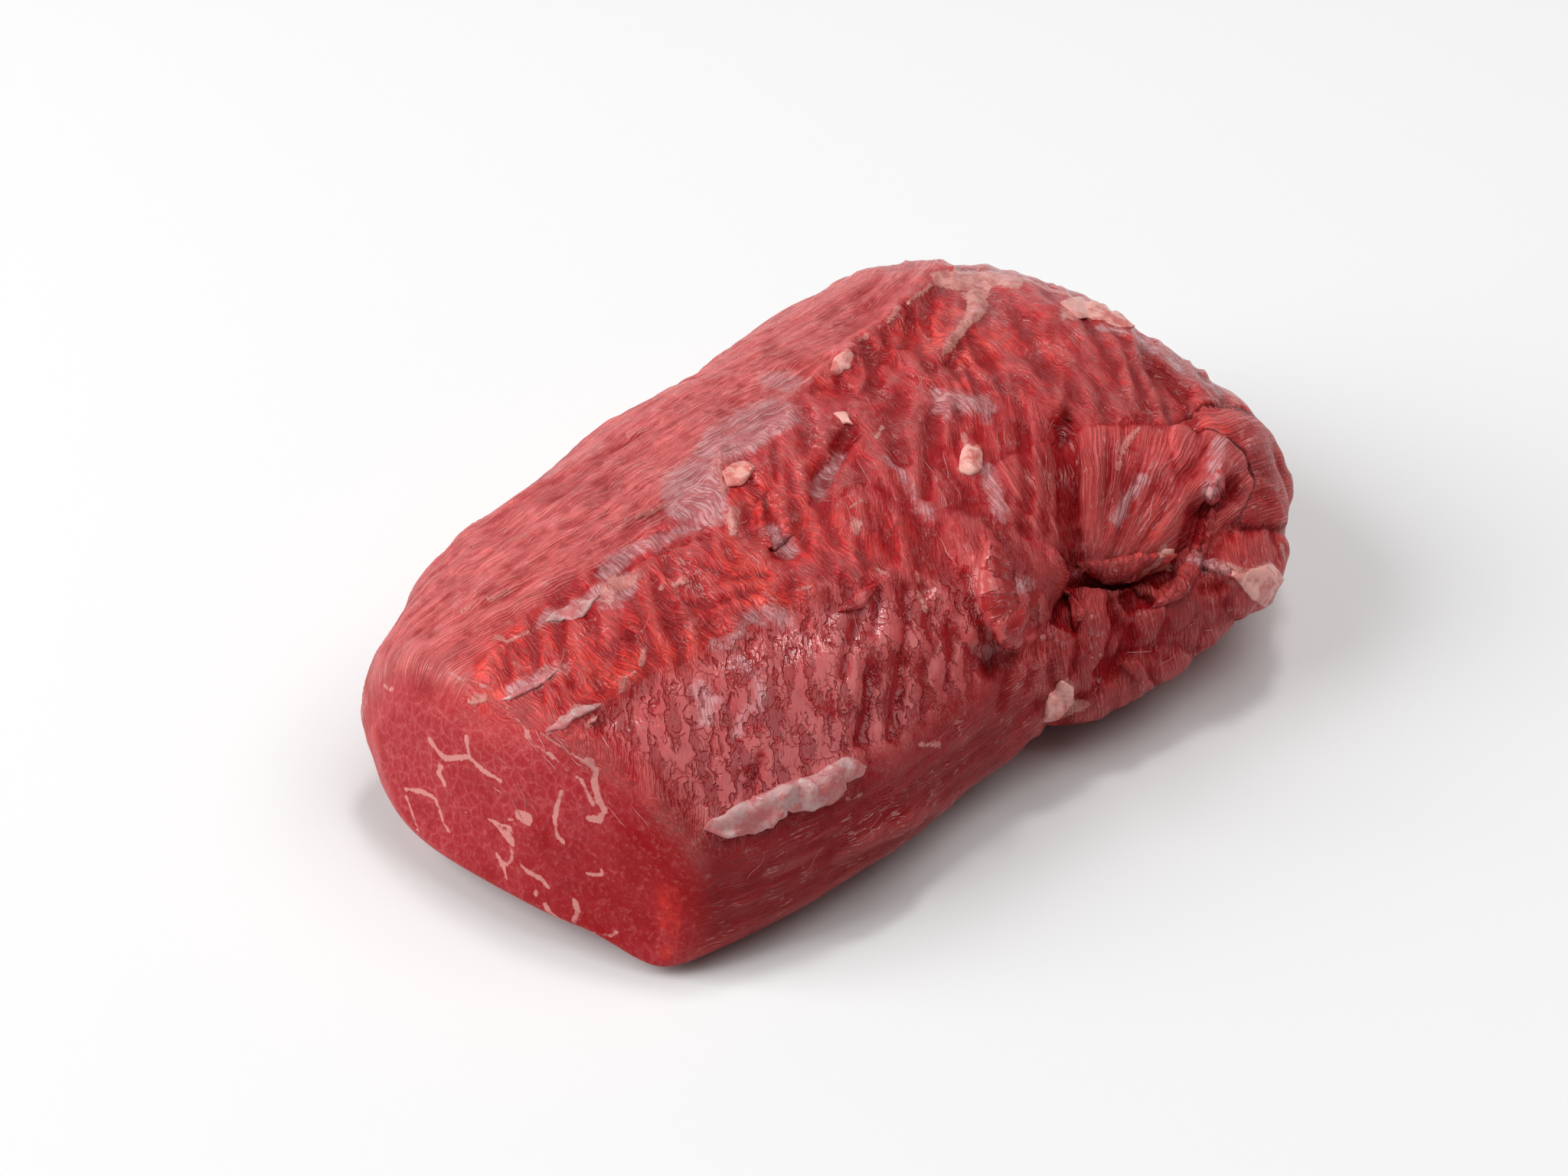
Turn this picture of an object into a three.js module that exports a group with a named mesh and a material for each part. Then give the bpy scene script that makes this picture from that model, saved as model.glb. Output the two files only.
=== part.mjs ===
// Raw beef chuck tender: one trimmed piece of muscle that lies on its flat side, cut square at one end.
// The body is a loft of rounded sections along +X from the cut face to the blunt far end.
// Creases, lobes, seams and strands of fat are relief in that surface, so the whole is one closed solid.
// Millimetres, +Z up. "along" is measured from the cut face. "around" is in degrees about the length:
// 0 at the right-hand side, 90 on top, 180 at the left-hand side, 270 underneath.
import * as THREE from "three";

// Driving dimensions
const meatLength = 304; // from the middle of the cut face to the tip of the far end
const endStart = 212; // where the far end begins to round off
const endFullness = 3; // exponent of the far end's outline: 2 is an ellipse, more is blunter
const endMiddle = { y: 0, z: 28 }; // the line that the far end closes on
const faceMiddle = { y: -8, z: 28 }; // the middle of the cut face
const faceLean = 0.24; // how far the cut face leans back for each millimetre of height
const faceCornerBack = 14; // how far the knife rounds back at the right-hand corner of the face
const faceLeftBack = 7; // the same at the left-hand edge
const faceDish = 1.2; // hollow in the middle of the cut face
const faceReach = 90; // how far along the body the face's lean dies away
const bottomSink = 2; // depth of section that is cut away to leave the flat resting patch
const bottomLift = 8; // the cut end's underside is this far off the table
const bottomLiftReach = 70; // how far along that lift dies away
const crownFullness = 2.1; // exponent of the section's upper right quarter

// Sections: sizes of the outline at a few places along, which smooth curves run through
const sectionPlaces = [0, 35, 80, 130, 180, 230, 305];
const sectionSizes = {
  left: [53, 63, 71, 76, 78, 80, 76], // widest place on the left
  right: [-70, -82, -91, -93, -99, -107, -102], // widest place on the right
  ridge: [7, 9, 6, 2, -4, -8, -12], // where the top is highest
  top: [61, 69, 75, 78, 77, 76, 73], // height there
  leftWide: [28, 30, 32, 33, 34, 35, 36], // height of the widest place on the left
  rightWide: [14, 17, 20, 22, 26, 28, 28], // the same on the right
  upLeft: [2.1, 2.1, 2.3, 2.5, 2.7, 3.0, 3.3], // exponent of the upper left quarter
  lowLeft: [1.8, 2.0, 2.2, 2.4, 2.4, 2.4, 2.4], // the lower left quarter
  lowRight: [4.5, 3.2, 2.6, 2.6, 2.6, 2.6, 2.6], // the lower right quarter
};

// Creases pressed into the surface: path of [along, around] places, width and depth
const creases = [
  { name: "main", path: [[214, 48], [197, 36], [183, 29], [174, 20], [160, 16]], width: 5, depth: 8 },
  { name: "gap under the fan", path: [[173, 20], [183, 16], [198, 13]], width: 4, depth: 10 },
  { name: "before the end lobe", path: [[234, 18], [222, 18], [209, 13], [198, 11]], width: 5, depth: 7 },
  { name: "edge of the fan", path: [[265, 44], [259, 34], [240, 26], [227, 23]], width: 5, depth: 3 },
  { name: "crease down the lower lobes", path: [[180, 14], [176, 9], [167, 4]], width: 5, depth: 5 },
  { name: "foot of the slab", path: [[132, 17], [144, 17], [156, 17], [169, 19]], width: 6, depth: 4 },
  { name: "hole", path: [[186, 12]], width: 6, depth: 8 },
  { name: "near furrow", path: [[203, 54], [180, 38], [167, 32]], width: 4, depth: 2 },
  { name: "seam valley", path: [[10, 92], [69, 88], [116, 88], [149, 104], [179, 119]], width: 10, depth: 1.5 },
  { name: "film hollow", path: [[114, 70], [107, 58]], width: 8, depth: 2.5 },
  { name: "blue groove", path: [[160, 83], [146, 76], [139, 72]], width: 5, depth: 2 },
  { name: "side furrow", path: [[95, 26], [80, 18]], width: 5, depth: 1.5 },
  { name: "slab crease", path: [[148, 58], [142, 43], [133, 32]], width: 7, depth: 2.5 },
  { name: "waist in the right foot", path: [[152, -8], [149, -16]], width: 12, depth: 6 },
  { name: "far side crease", path: [[268, 14], [262, 5]], width: 5, depth: 3 },
  { name: "rear hollow", path: [[296, 75], [292, 40]], width: 9, depth: 2 },
];

// Ridges that stand up: strands of fat, torn lips and the shoulders of the left-hand slope
const ridges = [
  { name: "knobby fat", path: [[186, 121], [200, 126], [224, 131], [250, 139], [260, 142]], width: 6, height: 2 },
  { name: "fat chip", path: [[122, 96], [127, 88]], width: 6, height: 2 },
  { name: "silverskin flap", path: [[15, 20], [34, 18], [52, 16], [69, 16]], width: 5, height: 2.5 },
  { name: "torn lip", path: [[152, 38], [141, 30], [137, 22], [139, 18]], width: 6, height: 3.5 },
  { name: "rear fat strand", path: [[263, 135], [244, 115], [224, 105], [217, 101]], width: 5, height: 1.8 },
  { name: "lower lip", path: [[66, 4], [86, 2]], width: 5, height: 2 },
  { name: "far left shoulder", path: [[255, 150], [268, 150]], width: 26, height: 3 },
  { name: "rear shoulder", path: [[268, 112], [262, 95]], width: 24, height: 3.5 },
  { name: "first slope fold", path: [[44, 157], [66, 157]], width: 14, height: 2.5 },
  { name: "second slope fold", path: [[80, 156], [90, 156]], width: 10, height: 1.5 },
  { name: "third slope fold", path: [[127, 157], [138, 157]], width: 10, height: 1.5 },
];

// Lobes of muscle: oval domes with a steep rim. turn is in degrees from the length towards the top.
const lobes = [
  { name: "fan", along: 207, around: 29, long: 44, wide: 24, turn: -22, height: 4.5 },
  { name: "end lobe", along: 252, around: 19, long: 30, wide: 22, turn: -20, height: 5 },
  { name: "pink end fat", along: 234, around: 3, long: 22, wide: 13, turn: -25, height: 5 },
  { name: "first lower lobe", along: 180, around: -7, long: 26, wide: 16, turn: 0, height: 5 },
  { name: "second lower lobe", along: 163, around: 9, long: 14, wide: 13, turn: 0, height: 3.5 },
  { name: "third lower lobe", along: 203, around: 2, long: 24, wide: 15, turn: -10, height: 4.5 },
  { name: "slab", along: 150, around: 28, long: 26, wide: 20, turn: 30, height: 3 },
  { name: "broad step", along: 120, around: 40, long: 50, wide: 22, turn: 25, height: 2 },
];
const lobeReach = 30; // a lobe acts on surface up to this far off its own plane

// Free unevenness: long soft swellings along the fibres and smaller lumps between them
const swelling = { length: 52, across: 19, height: 1.3 };
const lump = { length: 17, across: 13, height: 0.7 };
const faceLump = { size: 24, height: 0.8 };

// Mesh: rings about the length, each with the same number of corners
const faceRings = 7;
const bodyRings = 45;
const endRings = 25;
const corners = 75;
const undersideShare = 0.35; // corners lie this much sparser on the underside
const meatColour = 0xa5343b;

const radians = Math.PI / 180;
const clamp = (value) => Math.min(1, Math.max(0, value));
const smooth = (value) => clamp(value) ** 2 * (3 - 2 * clamp(value));
const mix = (from, to, share) => from + (to - from) * share;

// Slope of one size at a section, from its neighbours
function slopeAt(index, values) {
  const before = Math.max(0, index - 1);
  const after = Math.min(sectionPlaces.length - 1, index + 1);
  return (values[after] - values[before]) / (sectionPlaces[after] - sectionPlaces[before]);
}

// Every size of the section at one place along, as smooth cubic curves through the sections
function sectionAt(along) {
  let index = 0;
  while (index < sectionPlaces.length - 2 && along > sectionPlaces[index + 1]) index += 1;
  const span = sectionPlaces[index + 1] - sectionPlaces[index];
  const t = (along - sectionPlaces[index]) / span;
  const result = {};
  for (const [key, values] of Object.entries(sectionSizes)) {
    const rise = (t ** 3 - 2 * t ** 2 + t) * span * slopeAt(index, values);
    const fall = (t ** 3 - t ** 2) * span * slopeAt(index + 1, values);
    result[key] = mix(values[index], values[index + 1], t * t * (3 - 2 * t)) + rise + fall;
  }
  return result;
}

// A point of the section's outline: a superellipse with its own size and exponent in each quarter
function outlineAt(along, angle) {
  const s = sectionAt(along);
  const [c, up] = [Math.cos(angle), Math.sin(angle)];
  const rightShare = 0.5 + 0.5 * Math.tanh(3 * c);
  const topShare = 0.5 + 0.5 * Math.tanh(3 * up);
  const wideHeight = mix(s.leftWide, s.rightWide, rightShare);
  const halfWidth = c > 0 ? s.ridge - s.right : s.left - s.ridge;
  const halfHeight = up > 0 ? s.top - wideHeight : wideHeight + bottomSink;
  const upper = mix(s.upLeft, crownFullness, rightShare);
  const lower = mix(s.lowLeft, s.lowRight, rightShare);
  const power = mix(lower, upper, topShare);
  const reach = ((Math.abs(c) / halfWidth) ** power + (Math.abs(up) / halfHeight) ** power) ** (-1 / power);
  const y = s.ridge - reach * c;
  const z = Math.max(0, wideHeight + reach * up);
  const lift = bottomLift * smooth((y - s.right - 1) / 30) * clamp(1 - along / bottomLiftReach) ** 2;
  return { y, z: lift + z * (1 - lift / s.top) };
}

// How far back the knife's cut lies at a height and a place across
function cutDepth(y, z) {
  const [left, right] = [sectionSizes.left[0], sectionSizes.right[0]];
  const across = (y - right) / (left - right);
  const corner = faceCornerBack * clamp(1 - across / 0.45) ** 1.5;
  const leftEdge = faceLeftBack * clamp((across - 0.6) / 0.4) ** 1.5;
  return faceLean * z + corner + leftEdge;
}

// A point of the plain body, before any relief
function bodyPoint(along, angle) {
  const { y, z } = outlineAt(along, angle);
  const x = along + clamp(1 - along / faceReach) ** 1.5 * cutDepth(y, z);
  const past = clamp((along - endStart) / (meatLength - endStart));
  const shrink = (1 - past ** endFullness) ** (1 / endFullness);
  return new THREE.Vector3(x, mix(endMiddle.y, y, shrink), Math.max(0, mix(endMiddle.z, z, shrink)));
}

// The directions along, around and outwards at a place, from points a small step to each side
function directionsAt(along, angle) {
  const step = 0.4;
  const turn = 0.4 * radians;
  const behind = bodyPoint(Math.max(0, along - step), angle);
  const lengthways = bodyPoint(Math.min(meatLength - 0.01, along + step), angle).sub(behind).normalize();
  const aroundways = bodyPoint(along, angle + turn).sub(bodyPoint(along, angle - turn));
  const outwards = new THREE.Vector3().crossVectors(lengthways, aroundways).normalize();
  return { lengthways, outwards, upwards: new THREE.Vector3().crossVectors(outwards, lengthways) };
}

// A repeatable number from -1 to 1 for each whole-number place, and smooth noise between such places
function chance(i, j, k) {
  const value = Math.sin(i * 127.1 + j * 311.7 + k * 74.7) * 43758.5453;
  return 2 * (value - Math.floor(value)) - 1;
}

function noise(x, y, z) {
  const [i, j, k] = [Math.floor(x), Math.floor(y), Math.floor(z)];
  const [u, v, w] = [smooth(x - i), smooth(y - j), smooth(z - k)];
  const edge = (dj, dk) => mix(chance(i, j + dj, k + dk), chance(i + 1, j + dj, k + dk), u);
  return mix(mix(edge(0, 0), edge(1, 0), v), mix(edge(0, 1), edge(1, 1), v), w);
}

function unevenness(point) {
  const { x, y, z } = point;
  const long = noise(x / swelling.length, y / swelling.across, z / swelling.across);
  const short = noise(x / lump.length + 7, y / lump.across + 3, z / lump.across + 5);
  return swelling.height * long + lump.height * short;
}

// Distance from a point to a path of straight legs
function distanceTo(point, path) {
  let least = point.distanceTo(path[0]);
  for (let leg = 1; leg < path.length; leg += 1) {
    const line = new THREE.Line3(path[leg - 1], path[leg]);
    const nearest = line.closestPointToPoint(point, true, new THREE.Vector3());
    least = Math.min(least, nearest.distanceTo(point));
  }
  return least;
}

const placed = (list) => list.map((line) => ({
  ...line,
  points: line.path.map(([along, around]) => bodyPoint(along, around * radians)),
}));
const placedCreases = placed(creases);
const placedRidges = placed(ridges);
const placedLobes = lobes.map((lobe) => {
  const { lengthways, upwards, outwards } = directionsAt(lobe.along, lobe.around * radians);
  const turn = lobe.turn * radians;
  const longAxis = lengthways.clone().applyAxisAngle(outwards, turn);
  const wideAxis = upwards.clone().applyAxisAngle(outwards, turn);
  return { ...lobe, middle: bodyPoint(lobe.along, lobe.around * radians), longAxis, wideAxis, outwards };
});

// Height of the relief at a point: bell-shaped creases and ridges, domed lobes and free unevenness
function reliefAt(point) {
  let height = unevenness(point);
  let deepest = 0;
  for (const crease of placedCreases) {
    const bell = Math.exp(-((distanceTo(point, crease.points) / crease.width) ** 2));
    deepest = Math.max(deepest, crease.depth * bell);
  }
  height -= deepest;
  for (const ridge of placedRidges) {
    height += ridge.height * Math.exp(-((distanceTo(point, ridge.points) / ridge.width) ** 2));
  }
  for (const lobe of placedLobes) {
    const away = point.clone().sub(lobe.middle);
    const long = away.dot(lobe.longAxis) / lobe.long;
    const wide = away.dot(lobe.wideAxis) / lobe.wide;
    const off = away.dot(lobe.outwards) / lobeReach;
    height += lobe.height * Math.sqrt(Math.max(0, 1 - long ** 2 - wide ** 2 - off ** 2));
  }
  return height;
}

// Corner angles, spaced by the length of the middle section's outline and sparser underneath
function cornerAngles() {
  const samples = 720;
  const middleAlong = meatLength / 2;
  const totals = [0];
  let last = bodyPoint(middleAlong, 0);
  for (let i = 1; i <= samples; i += 1) {
    const next = bodyPoint(middleAlong, (i / samples) * 2 * Math.PI);
    const share = next.z > 0 ? 1 : undersideShare;
    totals.push(totals[i - 1] + share * next.distanceTo(last));
    last = next;
  }
  const angles = [];
  let i = 0;
  for (let corner = 0; corner < corners; corner += 1) {
    const wanted = (corner / corners) * totals[samples];
    while (totals[i + 1] < wanted) i += 1;
    angles.push(((i + (wanted - totals[i]) / (totals[i + 1] - totals[i])) / samples) * 2 * Math.PI);
  }
  return angles;
}

// A finished point of the body: the plain point pushed out by its relief, none where it rests
function finishedPoint(along, angle) {
  const point = bodyPoint(along, angle);
  const { outwards } = directionsAt(along, angle);
  const fade = clamp(point.z / 6) * clamp((meatLength - along) / 3);
  point.addScaledVector(outwards, reliefAt(point) * fade);
  point.z = Math.max(0, point.z);
  return point;
}

// A point of the cut face: the rim drawn in towards the middle, slightly hollow and uneven
function facePoint(rim, share) {
  const y = mix(faceMiddle.y, rim.y, share);
  const z = mix(faceMiddle.z, rim.z, share);
  const inside = 1 - share ** 2;
  const uneven = faceLump.height * noise(y / faceLump.size, z / faceLump.size, 0.5);
  return new THREE.Vector3(cutDepth(y, z) + inside * (faceDish + uneven), y, z);
}

function meatGeometry() {
  const angles = cornerAngles();
  const rim = angles.map((angle) => finishedPoint(0, angle));
  for (const point of rim) point.x = cutDepth(point.y, point.z);
  const rings = [];
  for (let i = 1; i <= faceRings; i += 1) {
    const share = Math.sqrt(i / (faceRings + 1));
    rings.push(rim.map((point) => facePoint(point, share)));
  }
  rings.push(rim);
  for (let i = 1; i < bodyRings; i += 1) {
    rings.push(angles.map((angle) => finishedPoint((i / bodyRings) * endStart, angle)));
  }
  for (let i = 0; i < endRings; i += 1) {
    const past = Math.sin(((i / endRings) * Math.PI) / 2);
    rings.push(angles.map((angle) => finishedPoint(mix(endStart, meatLength, past), angle)));
  }
  const tip = bodyPoint(meatLength, 0);
  const points = [facePoint(new THREE.Vector3(), 0), ...rings.flat(), tip];
  const lastRing = rings.length - 1;
  const faces = [];
  const at = (ring, corner) => 1 + ring * corners + (corner % corners);
  for (let corner = 0; corner < corners; corner += 1) {
    faces.push(0, at(0, corner), at(0, corner + 1));
    for (let ring = 0; ring < lastRing; ring += 1) {
      const [a, b] = [at(ring, corner), at(ring, corner + 1)];
      const [d, c] = [at(ring + 1, corner), at(ring + 1, corner + 1)];
      faces.push(a, c, b, a, d, c);
    }
    faces.push(points.length - 1, at(lastRing, corner + 1), at(lastRing, corner));
  }
  const geometry = new THREE.BufferGeometry().setFromPoints(points);
  geometry.setIndex(faces);
  return geometry;
}

// Moves the geometry so that the middle of its underside is the origin
function standOnOrigin(geometry) {
  geometry.computeBoundingBox();
  const { min, max } = geometry.boundingBox;
  geometry.translate(-(min.x + max.x) / 2, -(min.y + max.y) / 2, -min.z);
  geometry.computeVertexNormals();
  return geometry;
}

const meatMaterial = new THREE.MeshStandardMaterial({ color: meatColour, roughness: 0.35, metalness: 0 });
const meat = new THREE.Mesh(standOnOrigin(meatGeometry()), meatMaterial);
meat.name = "chuck_tender";

const chuckTender = new THREE.Group();
chuckTender.add(meat);

export default chuckTender;
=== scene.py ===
# Raw beef chuck tender: one trimmed piece of muscle lying on its flat side, cut square at one end.
# Shapes are worked out in millimetres and put into the meshes in metres.
import math
import bpy
import numpy as np
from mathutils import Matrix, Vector


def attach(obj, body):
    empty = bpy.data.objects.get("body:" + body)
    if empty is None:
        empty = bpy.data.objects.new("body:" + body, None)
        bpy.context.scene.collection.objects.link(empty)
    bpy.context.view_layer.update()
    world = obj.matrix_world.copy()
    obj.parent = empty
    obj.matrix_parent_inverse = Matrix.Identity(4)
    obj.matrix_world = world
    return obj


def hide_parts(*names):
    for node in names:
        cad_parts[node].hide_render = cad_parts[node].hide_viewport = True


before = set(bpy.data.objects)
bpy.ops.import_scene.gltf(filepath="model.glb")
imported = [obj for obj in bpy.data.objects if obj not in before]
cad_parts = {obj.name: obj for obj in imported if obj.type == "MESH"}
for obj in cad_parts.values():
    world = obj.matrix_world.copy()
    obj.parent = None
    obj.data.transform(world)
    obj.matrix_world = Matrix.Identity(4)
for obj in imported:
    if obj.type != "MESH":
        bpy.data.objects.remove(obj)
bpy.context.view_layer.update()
mm = 0.001
rng = np.random.default_rng(11)
print("stage: frame loaded")


# The meat's own shape. along is measured from the cut face, around in degrees: 0 right, 90 top, 180 left.
meat = {
    "length": 304, "endStart": 212, "endFullness": 3, "endMiddle": (0, 28),
    "faceMiddle": (-8, 28), "faceLean": 0.24, "faceCornerBack": 14, "faceLeftBack": 7,
    "faceDish": 1.2, "faceReach": 90, "bottomSink": 2, "bottomLift": 8, "bottomLiftReach": 70,
    "crownFullness": 2.1, "lobeReach": 30, "rimReach": 11,
    "places": [0, 35, 80, 130, 180, 230, 305],
    "left": [53, 63, 71, 76, 78, 80, 76],
    "right": [-70, -82, -91, -93, -99, -107, -102],
    "ridge": [7, 9, 6, 2, -4, -8, -12],
    "top": [61, 69, 75, 78, 77, 76, 73],
    "leftWide": [28, 30, 32, 33, 34, 35, 36],
    "rightWide": [14, 17, 20, 22, 26, 28, 28],
    "upLeft": [2.1, 2.1, 2.3, 2.5, 2.7, 3.0, 3.3],
    "lowLeft": [1.8, 2.0, 2.2, 2.4, 2.4, 2.4, 2.4],
    "lowRight": [4.5, 3.2, 2.6, 2.6, 2.6, 2.6, 2.6],
}
mesh = {
    "corners": 336, "faceRings": 44, "rimRings": 12, "bodyRings": 158, "endRings": 82, "undersideShare": 0.22,
    "rimAround": [0, 8, 22, 60, 150, 200, 225, 240, 330, 345, 360],
    "rimRadius": [2.2, 3, 6, 10, 11, 9, 4, 1.5, 1.5, 1.8, 2.2],
}

# path of (along, around), width and depth in mm
creases = [
    ([(214, 48), (197, 36), (183, 29), (174, 20), (160, 16)], 4, 8),
    ([(173, 20), (183, 16), (198, 13)], 3.2, 10),
    ([(234, 18), (222, 18), (209, 13), (198, 11)], 4, 7),
    ([(265, 44), (259, 34), (240, 26), (227, 23)], 4, 3),
    ([(180, 14), (176, 9), (167, 4)], 4, 5),
    ([(132, 17), (144, 17), (156, 17), (169, 19)], 5, 4),
    ([(186, 12)], 4.5, 8),
    ([(203, 54), (180, 38), (167, 32)], 2.5, 2),
    ([(201, 46), (188, 38), (173, 29)], 2.5, 1.6),
    ([(10, 92), (69, 88), (116, 88), (149, 104), (179, 119)], 10, 1.5),
    ([(114, 70), (107, 58)], 7, 2.5),
    ([(160, 83), (146, 76), (139, 72)], 4, 2.4),
    ([(95, 26), (80, 18)], 3, 1.5),
    ([(105, 25), (90, 17)], 3, 1.2),
    ([(148, 58), (142, 43), (133, 32)], 5, 2.5),
    ([(152, -8), (149, -16)], 12, 6),
    ([(268, 14), (262, 5)], 5, 3),
    ([(296, 75), (292, 40)], 9, 2),
    ([(48, 200), (95, 208), (150, 202), (205, 211), (262, 204)], 4, 1.8),
    ([(120, 172), (165, 180), (215, 175)], 6, 1.3),
]
ridges = [
    ([(186, 121), (200, 126), (224, 131), (250, 139), (260, 142)], 5, 2.2),
    ([(122, 96), (127, 88)], 5, 2),
    ([(15, 20), (34, 18), (52, 16), (69, 16)], 4, 2),
    ([(152, 38), (141, 30), (137, 22), (139, 18)], 5, 3.5),
    ([(263, 135), (244, 115), (224, 105), (217, 101)], 4, 1.8),
    ([(66, 4), (86, 2)], 4, 2),
    ([(255, 150), (268, 150)], 26, 3),
    ([(268, 112), (262, 95)], 24, 3.5),
    ([(44, 157), (66, 157)], 14, 2.5),
    ([(80, 156), (90, 156)], 10, 1.5),
    ([(127, 157), (138, 157)], 10, 1.5),
]
# along, around, half length, half width, turn towards the top, height
lobes = [
    (207, 29, 44, 24, -22, 4.5), (252, 19, 30, 22, -20, 5), (234, 3, 22, 13, -25, 5),
    (180, -7, 26, 16, 0, 5), (163, 9, 14, 13, 0, 3.5), (203, 2, 24, 15, -10, 4.5),
    (150, 28, 26, 20, 30, 3), (120, 40, 50, 22, 25, 2),
]


def mix(a, b, t):  # a + (b - a) * t
    return a + (b - a) * t


def smooth(t):  # 3t^2 - 2t^3 between 0 and 1
    t = np.clip(t, 0, 1)
    return t * t * (3 - 2 * t)


def unit(v):  # each vector divided by its length
    return v / np.maximum(np.linalg.norm(v, axis=-1, keepdims=True), 1e-9)


def chance(i, j, k):  # a repeatable number from -1 to 1 for each whole-number place
    value = np.sin(i * 127.1 + j * 311.7 + k * 74.7) * 43758.5453
    return 2 * (value - np.floor(value)) - 1


def noise(x, y, z):  # smooth noise: the corners' chances blended by 3t^2 - 2t^3
    i, j, k = np.floor(x), np.floor(y), np.floor(z)
    u, v, w = smooth(x - i), smooth(y - j), smooth(z - k)

    def edge(dj, dk):  # blended along the first direction
        return mix(chance(i, j + dj, k + dk), chance(i + 1, j + dj, k + dk), u)

    return mix(mix(edge(0, 0), edge(1, 0), v), mix(edge(0, 1), edge(1, 1), v), w)


def octaves(x, y, z, count=3):  # noise + noise at double frequency / 2 + ...
    total, share = 0, 1
    for level in range(count):
        total = total + share * noise(x * 2 ** level + 9 * level, y * 2 ** level, z * 2 ** level)
        share *= 0.5
    return total


def sizeAt(key, along):  # cubic curve through the sections' values, slopes from their neighbours
    places, values = np.array(meat["places"], float), np.array(meat[key], float)
    order = np.arange(len(places))
    before, after = np.maximum(order - 1, 0), np.minimum(order + 1, len(places) - 1)
    slopes = (values[after] - values[before]) / (places[after] - places[before])
    i = np.clip(np.searchsorted(places, along, side="right") - 1, 0, len(places) - 2)
    span = places[i + 1] - places[i]
    t = (along - places[i]) / span
    rise = (t ** 3 - 2 * t ** 2 + t) * span * slopes[i]
    fall = (t ** 3 - t ** 2) * span * slopes[i + 1]
    return mix(values[i], values[i + 1], t * t * (3 - 2 * t)) + rise + fall


def outlineAt(along, angle):  # superellipse |c/a|^n + |s/b|^n = 1 with its own a, b, n in each quarter
    s = {key: sizeAt(key, along) for key in ("left", "right", "ridge", "top", "leftWide", "rightWide",
                                             "upLeft", "lowLeft", "lowRight")}
    c, up = np.cos(angle), np.sin(angle)
    rightShare, topShare = 0.5 + 0.5 * np.tanh(3 * c), 0.5 + 0.5 * np.tanh(3 * up)
    wide = mix(s["leftWide"], s["rightWide"], rightShare)
    halfWidth = np.where(c > 0, s["ridge"] - s["right"], s["left"] - s["ridge"])
    halfHeight = np.where(up > 0, s["top"] - wide, wide + meat["bottomSink"])
    upper = mix(s["upLeft"], meat["crownFullness"], rightShare)
    lower = mix(s["lowLeft"], s["lowRight"], rightShare)
    power = mix(lower, upper, topShare)
    reach = ((np.abs(c) / halfWidth) ** power + (np.abs(up) / halfHeight) ** power) ** (-1 / power)
    y = s["ridge"] - reach * c
    z = np.maximum(0, wide + reach * up)
    nearFace = np.clip(1 - along / meat["bottomLiftReach"], 0, 1) ** 2
    lift = meat["bottomLift"] * smooth((y - s["right"] - 1) / 30) * nearFace
    return y, lift + z * (1 - lift / s["top"])


def cutDepth(y, z):  # how far back the knife's cut lies at a height and a place across
    across = (y - meat["right"][0]) / (meat["left"][0] - meat["right"][0])
    corner = meat["faceCornerBack"] * np.clip(1 - across / 0.45, 0, 1) ** 1.5
    leftEdge = meat["faceLeftBack"] * np.clip((across - 0.6) / 0.4, 0, 1) ** 1.5
    return meat["faceLean"] * z + corner + leftEdge


def bodyPoint(along, angle):  # the outline carried along, leaning at the face and shrinking at the far end
    along, angle = np.broadcast_arrays(np.asarray(along, float), np.asarray(angle, float))
    y, z = outlineAt(along, angle)
    x = along + np.clip(1 - along / meat["faceReach"], 0, 1) ** 1.5 * cutDepth(y, z)
    past = np.clip((along - meat["endStart"]) / (meat["length"] - meat["endStart"]), 0, 1)
    shrink = (1 - past ** meat["endFullness"]) ** (1 / meat["endFullness"])
    endY, endZ = meat["endMiddle"]
    return np.stack([x, mix(endY, y, shrink), np.maximum(0, mix(endZ, z, shrink))], -1)


def directionsAt(along, angle):  # unit vectors along, outwards and round towards the top
    turn = math.radians(0.4)
    behind = bodyPoint(np.maximum(0, along - 0.4), angle)
    ahead = bodyPoint(np.minimum(meat["length"] - 0.01, along + 0.4), angle)
    lengthways = unit(ahead - behind)
    outwards = unit(np.cross(lengthways, bodyPoint(along, angle + turn) - bodyPoint(along, angle - turn)))
    return lengthways, outwards, np.cross(outwards, lengthways)


def placesOn(path):  # points of the smooth body for a path of (along, around)
    along, around = np.array(path, float).T
    return bodyPoint(along, np.radians(around))


def distanceTo(points, path):  # least distance to the legs of a path
    least = np.linalg.norm(points - path[0], axis=-1)
    for start, end in zip(path[:-1], path[1:]):
        leg = end - start
        t = np.clip((points - start) @ leg / (leg @ leg), 0, 1)
        least = np.minimum(least, np.linalg.norm(points - start - t[..., None] * leg, axis=-1))
    return least


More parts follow.
